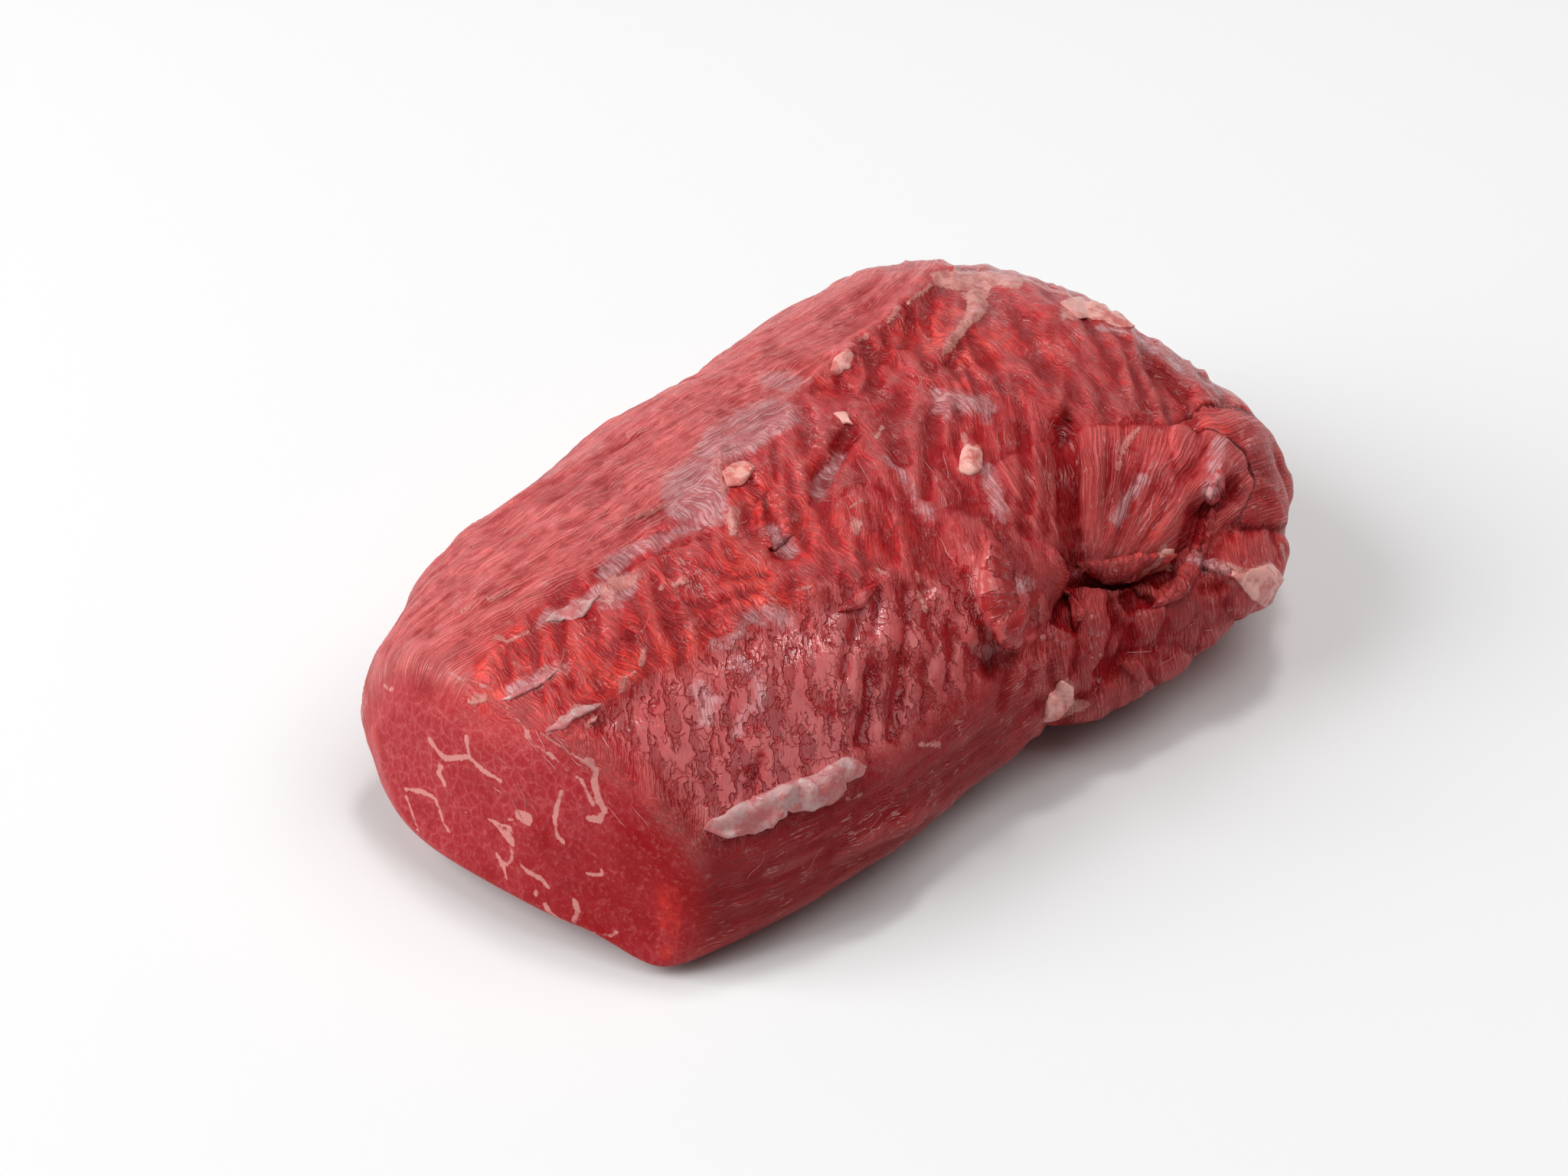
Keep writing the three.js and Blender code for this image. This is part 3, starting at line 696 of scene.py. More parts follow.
backShare = faceRows(smooth((around - back["from"]) / back["blend"])) * (1 - faceness)
patchy = octaves(grid[..., 0] / back["filmStep"][0], grid[..., 1] / 40,
                 grid[..., 2] / back["filmStep"][1] + 21, 3)
filmField = np.where(backShare > 0.5, np.maximum(filmField, 6 * (patchy - back["filmShare"])), filmField)
for width, path in back["seams"]:
    fatField = np.maximum(fatField, width / 2 - distanceTo(grid, alongBack(path)))
print("stage: fat, marbling and silverskin placed")

brightSpots = [
    (760, 870, 9, 0.9), (705, 905, 8, 0.9), (640, 880, 8, 0.8), (880, 850, 8, 0.8), (1060, 610, 8, 0.7),
    (980, 740, 9, 0.9), (1300, 500, 12, 0.6), (1340, 450, 12, 0.5), (1560, 560, 9, 0.6),
    (1440, 500, 8, 0.4), (1130, 740, 8, 0.7), (1190, 640, 7, 0.5), (690, 850, 13, 1.0),
    (650, 890, 10, 0.8), (740, 830, 12, 0.6), (820, 760, 7, 0.8), (850, 860, 12, 0.8),
    (900, 800, 12, 0.8), (1000, 665, 11, 0.9), (1015, 785, 9, 1.3), (1080, 690, 12, 0.7),
    (1120, 665, 8, 0.9), (1180, 700, 10, 0.5), (1245, 415, 9, 1.3), (1225, 445, 8, 1.2),
    (1275, 470, 11, 1.1), (1190, 430, 8, 0.9), (1140, 450, 8, 0.6), (1410, 432, 7, 0.8),
    (1000, 835, 10, 0.9), (870, 870, 10, 0.7), (1215, 750, 8, 0.9), (1300, 815, 7, 0.8),
    (1285, 750, 7, 0.7), (1080, 500, 8, 0.7), (1608, 562, 7, 0.9), (1540, 540, 10, 0.5),
    (955, 640, 5, 0.9), (810, 895, 8, 0.8), (1500, 735, 8, 0.7), (960, 700, 8, 0.6), (1180, 840, 10, 0.3),
    (1340, 790, 9, 0.5), (1500, 700, 9, 0.5), (1600, 700, 8, 0.3), (1620, 720, 8, 0.4),
    (1290, 560, 10, 0.2),
]
# Darker spots: a deeper red in places, and painted shade in the deep creases and along the low right wall
deepAndShadeSpots = [
    (620, 1120, 12, 0.5), (720, 1190, 14, 0.6), (800, 1225, 12, 0.6), (700, 1110, 8, 0.4),
    (640, 1030, 9, 0.3), (800, 1130, 12, 0.4), (900, 1110, 20, 1.0), (1000, 1110, 26, 0.9),
    (1150, 1060, 26, 0.6), (1280, 960, 22, 0.6), (1400, 645, 13, 1.0), (1430, 620, 12, 0.7),
    (1420, 850, 24, 0.6), (1500, 840, 24, 0.5), (1580, 800, 16, 0.6), (1640, 600, 20, 0.5),
    (1450, 520, 16, 0.5), (1540, 490, 14, 0.9), (1250, 660, 14, 0.6), (1330, 740, 14, 0.6),
    (1420, 740, 8, 0.9), (1080, 940, 26, 0.3), (1200, 920, 20, 0.5), (1100, 560, 8, 0.7),
    (1230, 480, 9, 0.8), (1175, 560, 10, 0.5), (1060, 505, 6, 0.6), (1490, 775, 8, 1.2),
    (1570, 700, 8, 1.0), (1620, 690, 10, 0.4), (900, 630, 10, 0.3), (1130, 400, 20, 0.2),
    (1360, 600, 14, 0.4),
]
bright, deepAndShade = glow(brightSpots), glow(deepAndShadeSpots)
bright += 0.55 * isFace * smooth((pixelX - 848) / 22) * smooth((pixelY - 1120) / 60)
bright += 0.8 * isFace * smooth((498 - pixelX) / 18)
# Painted shade: the low right wall made darker, as it stands in shade; the unseen back darker in patches low
# down
deepAndShade += 0.32 * faceRows(lowWall) * (1 - faceness) + back["darker"] * backShare * smooth(0.5 - patchy)


def skinWeights(px, py):  # which visible grid points lie round the pixels, and their bell weights
    near = (pixelX > px.min() - 16) & (pixelX < px.max() + 16) & (facing > 0.04)
    near &= (pixelY > py.min() - 16) & (pixelY < py.max() + 16)
    away = (px[:, None] - pixelX[near]) ** 2 + (py[:, None] - pixelY[near]) ** 2
    deepAndShadeAmount = depth[near][None, :]
    front = np.where(away < 90, deepAndShadeAmount, 1e9).min(1, keepdims=True)
    front = np.where(front > 1e8, deepAndShadeAmount.min(), front)
    weight = np.exp(-away / 18) * (deepAndShadeAmount < front + 7) + 1e-12 * np.exp(-away / 400)
    return near, weight / weight.sum(1, keepdims=True)


def onSkin(px, py):  # the surface point behind each pixel and its normal
    near, weight = skinWeights(px, py)
    away = (weight @ depth[near])[:, None]
    focal = view["lens"] / view["sensor"] * photo["width"]
    ray = camRight * (px[:, None] - photo["width"] / 2) / focal - camBack
    ray = ray + camUp * (photo["height"] / 2 - py[:, None]) / focal
    return camPlace + ray * away, unit(weight @ allNormals[near])


def alongPath(path, t):  # a pixel path read at shares of its length, rounded at the corners
    corners = np.array(path, float)
    length = np.concatenate([[0], np.cumsum(np.hypot(*np.diff(corners, axis=0).T))])
    fine = np.linspace(0, 1, 61)
    points = np.stack([np.interp(fine * length[-1], length, corners[:, axis]) for axis in (0, 1)], -1)
    for _ in range(5):
        points[1:-1] = (points[:-2] + 2 * points[1:-1] + points[2:]) / 4
    return np.stack([np.interp(t, fine, points[:, axis]) for axis in (0, 1)], -1)


def sheetRings(upper, lower, thick, lumpy, curl, ragged, seed):
    # between two edges drawn in pixels: top = skin + thick * rounded profile + lumps, underside in the meat
    span = np.hypot(*np.diff(np.array(upper, float), axis=0).T).sum()
    lengthRows = int(np.clip(span / 3, 10, 64))
    acrossRows = 11
    u = np.linspace(0.012, 0.988, lengthRows)
    v = 0.5 - 0.5 * np.cos(np.linspace(0.03, 0.97, acrossRows) * np.pi)
    top, bottom = alongPath(upper, u), alongPath(lower, u)
    wave = u[:, None] * span / 11 + seed * 7
    upperJag, lowerJag = (ragged * octaves(wave, 0 * wave + seed, 0 * wave + level, 3) for level in (0, 9))
    direction = unit(bottom - top + 1e-6) * np.sin(np.pi * u)[:, None]
    top, bottom = top - direction * upperJag, bottom + direction * lowerJag
    pixel = top[:, None] + (bottom - top)[:, None] * v[None, :, None]
    points, normals = onSkin(pixel[..., 0].ravel(), pixel[..., 1].ravel())
    points, normals = points.reshape(lengthRows, acrossRows, 3), normals.reshape(lengthRows, acrossRows, 3)
    ends = smooth(np.minimum(u, 1 - u) / 0.16)[:, None]
    profile = (1 - (2 * v - 1) ** 6)[None, :] * (0.25 + 0.75 * ends)
    lump = octaves(points[..., 0] / 4.5 + seed, points[..., 1] / 4.5, points[..., 2] / 4.5, 3)
    lift = curl * smooth((v - 0.62) / 0.38)[None, :] * ends * (0.6 + 0.5 * lump)
    upperSide = points + normals * (thick * profile * (1 + lumpy * lump) + 0.18 + lift)[..., None]
    underSide = points + normals * (-0.7 * (1 - (2 * v - 1) ** 2)[None, :] - 0.1 + lift * 0.9)[..., None]
    return np.concatenate([upperSide, underSide[:, ::-1]], 1)


def ringsVolume(rings):  # six times the volume within rings of points, fanned out from the first point
    a, b = rings[:-1] - rings[0, 0], rings[1:] - rings[0, 0]
    aNext, bNext = np.roll(a, -1, 1), np.roll(b, -1, 1)
    return (np.cross(a, b) * bNext).sum() + (np.cross(a, bNext) * aNext).sum()


def joinRings(shapes):  # closed tubes put together: points, faces
    points, faces, start = [], [], 0
    for rings in shapes:
        if ringsVolume(rings) < 0:
            rings = rings[:, ::-1]
        count, round_ = rings.shape[:2]
        points += [rings[0].mean(0)[None], rings.reshape(-1, 3), rings[-1].mean(0)[None]]
        faces += [[corner + start for corner in face] for face in closedGrid(count, round_)]
        start += count * round_ + 2
    return np.concatenate(points), faces


def addVectors(piece, name, values):  # three values for each point of a mesh
    layer = piece.data.attributes.new(name, "FLOAT_VECTOR", "POINT")
    layer.data.foreach_set("vector", np.ascontiguousarray(values, dtype=np.float32).ravel())


def addMesh(name, points, faces):  # points in mm, put into the mesh in metres
    data = bpy.data.meshes.new(name)
    data.from_pydata((points * mm).tolist(), [], faces)
    data.polygons.foreach_set("use_smooth", np.ones(len(data.polygons), bool))
    data.update()
    piece = bpy.data.objects.new(name, data)
    bpy.context.scene.collection.objects.link(piece)
    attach(piece, "root")
    return piece


def closedGrid(rows, cols):  # faces of a tube of rows * cols points with one point more at each end
    start = 1 + np.arange(rows - 1)[:, None] * cols + np.arange(cols)[None, :]
    after = 1 + np.arange(rows - 1)[:, None] * cols + (np.arange(cols)[None, :] + 1) % cols
    quads = np.stack([start, start + cols, after + cols, after], -1).reshape(-1, 4)
    ring = np.arange(cols)
    first = np.stack([0 * ring, 1 + ring, 1 + (ring + 1) % cols], -1)
    lastRow = 1 + (rows - 1) * cols
    last = np.stack([0 * ring + rows * cols + 1, lastRow + (ring + 1) % cols, lastRow + ring], -1)
    return quads.tolist() + first.tolist() + last.tolist()


# The dense closed mesh: the grid plus one point in the face and one at the tip
rows, cols = grid.shape[:2]
middleDepth = cutDepth(*map(float, meat["faceMiddle"])) + meat["faceDish"]
faceCentre = np.array([[middleDepth, *meat["faceMiddle"]]]) + shift
tip = bodyPoint(float(meat["length"]), 0.0)[None, :] + shift
meatPiece = addMesh("meat", np.concatenate([faceCentre, grid.reshape(-1, 3), tip]), closedGrid(rows, cols))


def onPoints(values):  # the grid's values with the face's middle and the tip added
    flat = values.reshape(rows * cols, -1)
    return np.concatenate([flat[:1], flat, flat[-1:]])


faceFibre = np.stack([0.8 * faceY - 0.6 * faceZ, 0.6 * faceY + 0.8 * faceZ, 0 * faceY + 90], -1)
lengthWeight = faceRows(np.clip(slope + lowWall, 0, 1), 0.0)
uprightWeight = faceRows(np.clip(crackle + flutes + lowLumps, 0, 1), 0.0)
fanWeight = faceRows(np.clip(fan + outerLobe, 0, 1), 0.0)
plates = faceRows(np.clip(crackle * zone(12, 158, 15, 70) + 0.45 * flutes, 0, 1))
# How far each point stands out of its smoothed neighbours; the material paints shade in the hollows and a
# highlight on the tops from it
standing = ((grid - softened(grid, 1.0, 10)) * allNormals).sum(-1)
standing = np.clip(standing / 0.35, -1, 1) * (1 - 0.6 * faceness) * np.clip(grid[..., 2] / 4, 0, 1)
# Paleness of the slope, fan and lobes: a paler membrane, and on the left slope partly painted sheen
palenessAndSheen = np.clip(slope + 0.45 * fan + 0.3 * outerLobe + 0.3 * lowLumps, 0, 1)
palenessAndSheen = faceRows(palenessAndSheen) * (1 - faceness) * (1 - back["redder"] * backShare)
meatAttributes = {
    "relief": np.stack([standing, 0 * standing, 0 * standing], -1),
    "lengthFibre": np.concatenate([faceFibre, lengthFibre]),
    "uprightFibre": np.concatenate([faceFibre, uprightFibre]),
    "slantFibre": np.concatenate([faceFibre, slantFibre]),
    "fanFibre": np.concatenate([faceFibre, fanFibre]),
    "grain": np.stack([lengthWeight, uprightWeight, fanWeight], -1),
    "marks": np.stack([fatField, veinField, filmField], -1),
    "tonesAndShade": np.stack([np.clip(bright, 0, 1.3), np.clip(deepAndShade, 0, 1), palenessAndSheen], -1),
    "wet": np.stack([plates, faceness, faceRows(middle)], -1),
}
for name, values in meatAttributes.items():
    addVectors(meatPiece, name, onPoints(values))
print("stage: meat mesh", rows * cols)


# Node helpers
def newMaterial(name):  # a material with an empty node tree
    material = bpy.data.materials.new(name)
    material.use_nodes = True
    tree = material.node_tree
    tree.nodes.clear()
    return material, tree


def connect(tree, node, inputs):  # a socket is linked, anything else is set on the input itself
    for key, value in inputs.items():
        if isinstance(value, bpy.types.NodeSocket):
            tree.links.new(value, node.inputs[key])
        else:
            node.inputs[key].default_value = value


def add(tree, kind, inputs=None, **settings):  # a node with its settings and inputs
    node = tree.nodes.new(kind)
    for key, value in settings.items():
        setattr(node, key, value)
    connect(tree, node, inputs or {})
    return node


def endMaterial(tree, shader):  # the shader joined to the material's output
    add(tree, "ShaderNodeOutputMaterial", {"Surface": shader.outputs[0]})


def calc(tree, operation, first, second=0.0, third=0.0, clamp=False):  # one step of arithmetic
    inputs = {0: first, 1: second, 2: third}
    return add(tree, "ShaderNodeMath", inputs, operation=operation, use_clamp=clamp).outputs[0]


def times(tree, first, second):  # first * second
    return calc(tree, "MULTIPLY", first, second)


def timesPlus(tree, first, second, third):  # first * second + third
    return calc(tree, "MULTIPLY_ADD", first, second, third)


def vectorCalc(tree, operation, *vectors):  # one step of arithmetic on vectors
    return add(tree, "ShaderNodeVectorMath", dict(enumerate(vectors)), operation=operation).outputs[0]


def ramp(tree, value, low, high, toLow=0.0, toHigh=1.0):  # smoothstep from low to high
    inputs = {"Value": value, "From Min": low, "From Max": high, "To Min": toLow, "To Max": toHigh}
    return add(tree, "ShaderNodeMapRange", inputs, interpolation_type="SMOOTHSTEP").outputs["Result"]


def blendColour(tree, factor, first, second):  # first + (second - first) * factor
    node = add(tree, "ShaderNodeMix", {0: factor, 6: first, 7: second}, data_type="RGBA", clamp_factor=True)
    return node.outputs[2]


def readVector(tree, name):  # an attribute of the mesh, whole and as its three values
    attribute = add(tree, "ShaderNodeAttribute", attribute_name=name, attribute_type="GEOMETRY")
    split = add(tree, "ShaderNodeSeparateXYZ", {0: attribute.outputs["Vector"]})
    return attribute.outputs["Vector"], split.outputs


def noiseAt(tree, vector, scale, detail=2.0, roughness=0.55):  # noise from 0 to 1
    inputs = {"Vector": vector, "Scale": scale, "Detail": detail, "Roughness": roughness}
    return add(tree, "ShaderNodeTexNoise", inputs).outputs[0]


def makeGroup(name, inputs, outputs):  # an empty node group with its sockets
    group = bpy.data.node_groups.new(name, "ShaderNodeTree")
    for socketName, kind, value in inputs:
        socket = group.interface.new_socket(socketName, in_out="INPUT", socket_type=kind)
        if value is not None:
            socket.default_value = value
    for socketName, kind in outputs:
        group.interface.new_socket(socketName, in_out="OUTPUT", socket_type=kind)
    return group, group.nodes.new("NodeGroupInput"), group.nodes.new("NodeGroupOutput")


def useGroup(tree, group, inputs):  # a node group placed in a tree
    node = add(tree, "ShaderNodeGroup", node_tree=group)
    connect(tree, node, inputs)
    return node.outputs


def fibreGroup():  # stretched noise for the bundles, thin threads where a second stretched noise is one half
    sockets = [("Fibre", "NodeSocketVector", None), ("Across", "NodeSocketFloat", 1.2),
               ("Length", "NodeSocketFloat", 12.0), ("Wander", "NodeSocketFloat", 5.0)]
    results = [("Height", "NodeSocketFloat"), ("Thread", "NodeSocketFloat")]
    group, given, out = makeGroup("fibreStreaks", sockets, results)
    split = add(group, "ShaderNodeSeparateXYZ", {0: given.outputs["Fibre"]}).outputs
    wander = noiseAt(group, given.outputs["Fibre"], 0.10, 1.0)
    bent = timesPlus(group, calc(group, "SUBTRACT", wander, 0.5), given.outputs["Wander"], split[1])
    across = calc(group, "DIVIDE", bent, given.outputs["Across"])
    along = calc(group, "DIVIDE", split[0], given.outputs["Length"])
    vector = add(group, "ShaderNodeCombineXYZ", {0: along, 1: across, 2: split[2]}).outputs[0]
    smoothHeight = noiseAt(group, vector, 1.0, 3.0, 0.65)
    crease = calc(group, "ABSOLUTE", calc(group, "SUBTRACT", noiseAt(group, vector, 0.55, 2.0, 0.6), 0.5))
    height = timesPlus(group, smoothHeight, 0.85, -0.15)
    height = timesPlus(group, ramp(group, crease, 0.0, 0.11), 0.30, height)
    threadParts = {0: times(group, along, 1.3), 1: times(group, across, 0.45),
                   2: calc(group, "ADD", split[2], 7.0)}
    threadVector = add(group, "ShaderNodeCombineXYZ", threadParts).outputs[0]
    threadNoise = noiseAt(group, threadVector, 1.0, 2.0, 0.5)
    thread = ramp(group, calc(group, "ABSOLUTE", calc(group, "SUBTRACT", threadNoise, 0.5)), 0.022, 0.004)
    patch = ramp(group, noiseAt(group, given.outputs["Fibre"], 0.13, 2.0), 0.50, 0.62)
    group.links.new(height, out.inputs["Height"])
    group.links.new(times(group, thread, patch), out.inputs["Thread"])
    return group


def edgeGroup():  # a crisp ragged mask from a distance field: positive inside
    sockets = [("Field", "NodeSocketFloat", 0.0), ("Vector", "NodeSocketVector", None),
               ("Ragged", "NodeSocketFloat", 0.5), ("Soft", "NodeSocketFloat", 0.25)]
    group, given, out = makeGroup("raggedEdge", sockets, [("Mask", "NodeSocketFloat")])
    place, soft = given.outputs["Vector"], given.outputs["Soft"]
    both = timesPlus(group, noiseAt(group, place, 260.0, 2.0), 1.6, noiseAt(group, place, 900.0, 3.0))
    both = calc(group, "SUBTRACT", both, 1.3)
    moved = timesPlus(group, both, given.outputs["Ragged"], given.outputs["Field"])
    group.links.new(ramp(group, moved, times(group, soft, -1.0), soft), out.inputs["Mask"])
    return group


fibreNodes, edgeNodes = fibreGroup(), edgeGroup()

meatLook = {
    # deep: a deep red for mottling, also used as painted shade in valleys, hollows, creases and on the low
    # right wall
    "lean": (0.58, 0.014, 0.019, 1), "deepAndShade": (0.29, 0.004, 0.007, 1), "bright": (0.76, 0.034, 0.020, 1),
    # slope and streak: pale membrane and fibre colours, made paler partly as painted sheen
    "slope": (0.70, 0.135, 0.133, 1), "streak": (0.72, 0.19, 0.175, 1), "thread": (0.80, 0.44, 0.42, 1),
    "fat": (0.72, 0.31, 0.27, 1), "fatRose": (0.56, 0.15, 0.13, 1), "vein": (0.62, 0.24, 0.22, 1),
    # plate: pale film made paler as painted reflection; crack: darker than the meat, painted shade in the
    # cracks
    "film": (0.58, 0.28, 0.29, 1), "crack": (0.24, 0.007, 0.010, 1), "plate": (0.48, 0.080, 0.083, 1),
    "cut": (0.37, 0.018, 0.026, 1), "cutEdge": (0.50, 0.075, 0.080, 1),
    "roughness": 0.36, "coatRoughness": 0.05, "coatIor": 1.42,
}


def weighted(tree, pairs):  # sum of value * weight
    total = times(tree, *pairs[0])
    for value, weight in pairs[1:]:
        total = timesPlus(tree, value, weight, total)
    return total


def centredNoise(tree, vector, scale, detail=2.0):  # three noises from -0.5 to 0.5
    colour = add(tree, "ShaderNodeTexNoise", {"Vector": vector, "Scale": scale, "Detail": detail}).outputs[1]
    return vectorCalc(tree, "SUBTRACT", colour, (0.5, 0.5, 0.5))


def cellEdge(tree, vector, scale):  # distance to the edge of a Voronoi cell
    inputs = {"Vector": vector, "Scale": scale}
    return add(tree, "ShaderNodeTexVoronoi", inputs, feature="DISTANCE_TO_EDGE").outputs["Distance"]


def crackedPlates(tree, fibre):  # level tops where a stretched noise is high, fine cracks across them
    bent = vectorCalc(tree, "MULTIPLY_ADD", centredNoise(tree, fibre, 0.28, 3.0), (5.0, 4.2, 0.0), fibre)
    stretched = vectorCalc(tree, "MULTIPLY", bent, (0.085, 0.26, 1.0))
    broad = noiseAt(tree, stretched, 1.0, 3.0, 0.62)
    groove = ramp(tree, broad, 0.505, 0.445)
    small = vectorCalc(tree, "MULTIPLY", bent, (0.30, 0.48, 1.0))
    crack = times(tree, ramp(tree, cellEdge(tree, small, 1.0), 0.075, 0.0),
                  ramp(tree, noiseAt(tree, fibre, 0.22, 2.0), 0.44, 0.56))
    return groove, crack


def makeMeatMaterial():  # colours laid over one another by mask, then a height from the same masks
    material, tree = newMaterial("rawMeat")
    place = add(tree, "ShaderNodeTexCoord").outputs["Object"]
    _, grain = readVector(tree, "grain")
    _, marks = readVector(tree, "marks")
    _, tonesAndShade = readVector(tree, "tonesAndShade")
    _, wet = readVector(tree, "wet")
    _, relief = readVector(tree, "relief")
    upright = readVector(tree, "uprightFibre")[0]
    rest = calc(tree, "SUBTRACT", calc(tree, "SUBTRACT", 1.0, grain[0]), grain[1])
    rest = calc(tree, "SUBTRACT", rest, grain[2], clamp=True)
    systems = [("lengthFibre", 0.60, 13.0, 3.0, grain[0]), ("uprightFibre", 0.65, 6.0, 3.0, grain[1]),
               ("fanFibre", 0.65, 14.0, 2.5, grain[2]), ("slantFibre", 0.60, 5.0, 7.0, rest)]
    heights, threads = [], []
    for name, across, length, wander, weight in systems:
        streak = useGroup(tree, fibreNodes, {"Fibre": readVector(tree, name)[0], "Across": across,
                                             "Length": length, "Wander": wander})
        heights.append((streak["Height"], weight))
        threads.append((streak["Thread"], weight))
    bundle, thread = weighted(tree, heights), weighted(tree, threads)
    mottle = noiseAt(tree, place, 75.0, 4.0, 0.6)
    cloud = noiseAt(tree, place, 260.0, 3.0, 0.6)
    speckle = noiseAt(tree, place, 700.0, 3.0, 0.65)
    notFace = calc(tree, "SUBTRACT", 1.0, wet[1])
    filmed = times(tree, wet[0], notFace)
    groove, crack = crackedPlates(tree, upright)
    # The left slope paler: partly pale membrane, partly painted sheen
    colour = blendColour(tree, tonesAndShade[2], meatLook["lean"], meatLook["slope"])
    wavy = vectorCalc(tree, "MULTIPLY_ADD", centredNoise(tree, place, 90.0), (0.004, 0.004, 0.004), place)
    bundleEdge = ramp(tree, cellEdge(tree, wavy, 260.0), 0.16, 0.0)
    cutColour = blendColour(tree, times(tree, bundleEdge, 0.55), meatLook["cut"], meatLook["cutEdge"])
    colour = blendColour(tree, wet[1], colour, cutColour)
    colour = blendColour(tree, ramp(tree, cloud, 0.56, 0.34, 0.0, 0.34), colour, meatLook["deepAndShade"])
    # deep red tone and painted shade from the spots, the low wall and the back, with mottling
    deepAndShadeAmount = calc(tree, "ADD", tonesAndShade[1], ramp(tree, mottle, 0.46, 0.74, 0.0, 0.75))
    colour = blendColour(tree, deepAndShadeAmount, colour, meatLook["deepAndShade"])
    broken = timesPlus(tree, cloud, 0.5, mottle)
    brightness = times(tree, tonesAndShade[0], ramp(tree, broken, 0.92, 0.56))
    colour = blendColour(tree, brightness, colour, meatLook["bright"])
    # Painted shade in the valleys between the fibre bundles
    valleyShade = times(tree, notFace, timesPlus(tree, tonesAndShade[2], -0.3, 0.6))
    valleyShade = times(tree, ramp(tree, bundle, 0.50, 0.34), valleyShade)
    colour = blendColour(tree, valleyShade, colour, meatLook["deepAndShade"])
    # Paler on the bundles' crests: partly pale fibres, partly painted sheen
    paleStreakAndSheen = times(tree, timesPlus(tree, tonesAndShade[2], 0.62, 0.13), notFace)
    paleStreakAndSheen = times(tree, ramp(tree, bundle, 0.52, 0.70), paleStreakAndSheen)
    colour = blendColour(tree, paleStreakAndSheen, colour, meatLook["streak"])
    grains = times(tree, ramp(tree, speckle, 0.50, 0.72), times(tree, wet[1], 0.22))
    colour = blendColour(tree, grains, colour, meatLook["streak"])
    # Plates paler: partly pale wet film, partly painted reflection of the overhead lamp
    plateFilmAndReflection = times(tree, filmed, calc(tree, "SUBTRACT", 1.0, groove))
    colour = blendColour(tree, times(tree, plateFilmAndReflection, 0.7), colour, meatLook["plate"])
    # Painted shade in the hollows and painted highlight on the raised tops
    hollowShade = times(tree, ramp(tree, relief[0], 0.0, -1.0, 0.0, 0.8), timesPlus(tree, tonesAndShade[2], -0.5, 1.0))
    colour = blendColour(tree, hollowShade, colour, meatLook["deepAndShade"])
    colour = blendColour(tree, ramp(tree, relief[0], 0.1, 1.0, 0.0, 0.16), colour, meatLook["streak"])
    film = useGroup(tree, edgeNodes, {"Field": marks[2], "Vector": place,
                                      "Ragged": 3.0, "Soft": 1.6})["Mask"]
    filmStreak = times(tree, film, ramp(tree, timesPlus(tree, cloud, 0.5, bundle), 0.52, 0.86, 0.30, 0.92))
    colour = blendColour(tree, filmStreak, colour, meatLook["film"])
    # Painted shade: the cracks and grooves between the plates darker than the meat
    crackShade = times(tree, calc(tree, "MAXIMUM", groove, crack), filmed)
    colour = blendColour(tree, times(tree, crackShade, 0.62), colour, meatLook["crack"])
    vein = useGroup(tree, edgeNodes, {"Field": marks[1], "Vector": place,
                                      "Ragged": 1.1, "Soft": 0.22})["Mask"]
    colour = blendColour(tree, times(tree, vein, 0.9), colour, meatLook["vein"])
    fat = useGroup(tree, edgeNodes, {"Field": marks[0], "Vector": place,
                                     "Ragged": 1.8, "Soft": 0.4})["Mask"]
    fatColour = blendColour(tree, ramp(tree, cloud, 0.35, 0.65), meatLook["fat"], meatLook["fatRose"])
    colour = blendColour(tree, times(tree, fat, 0.92), colour, fatColour)
    threadAmount = times(tree, times(tree, thread, notFace), timesPlus(tree, filmed, -0.35, 0.42))
    colour = blendColour(tree, threadAmount, colour, meatLook["thread"])
    free = times(tree, notFace, timesPlus(tree, wet[0], -0.93, 1.0))
    height = times(tree, bundle, times(tree, free, timesPlus(tree, tonesAndShade[2], -0.35, 1.15)))
    height = timesPlus(tree, speckle, timesPlus(tree, filmed, -0.26, 0.34), height)
    height = timesPlus(tree, cloud, timesPlus(tree, free, 0.95, 0.16), height)
    height = timesPlus(tree, times(tree, groove, filmed), -0.55, height)
    height = timesPlus(tree, times(tree, crack, filmed), -0.16, height)
    height = timesPlus(tree, fat, 0.35, height)
    bump = add(tree, "ShaderNodeBump", {"Strength": 1.0, "Distance": 0.001, "Height": height}).outputs[0]
    coat = timesPlus(tree, calc(tree, "ADD", wet[0], wet[2], clamp=True), 0.40, 0.25)
    coat = times(tree, coat, timesPlus(tree, wet[1], -0.5, 1.0))
    shader = add(tree, "ShaderNodeBsdfPrincipled", {
        "Base Color": colour, "Roughness": meatLook["roughness"], "Specular IOR Level": 0.10, "Normal": bump,
        "Coat Weight": coat, "Coat Roughness": meatLook["coatRoughness"], "Coat IOR": meatLook["coatIor"],
        "Coat Normal": bump})
    endMaterial(tree, shader)
    return material


meatMaterial = makeMeatMaterial()
meatPiece.data.materials.append(meatMaterial)
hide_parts("chuck_tender")
print("stage: meat material")


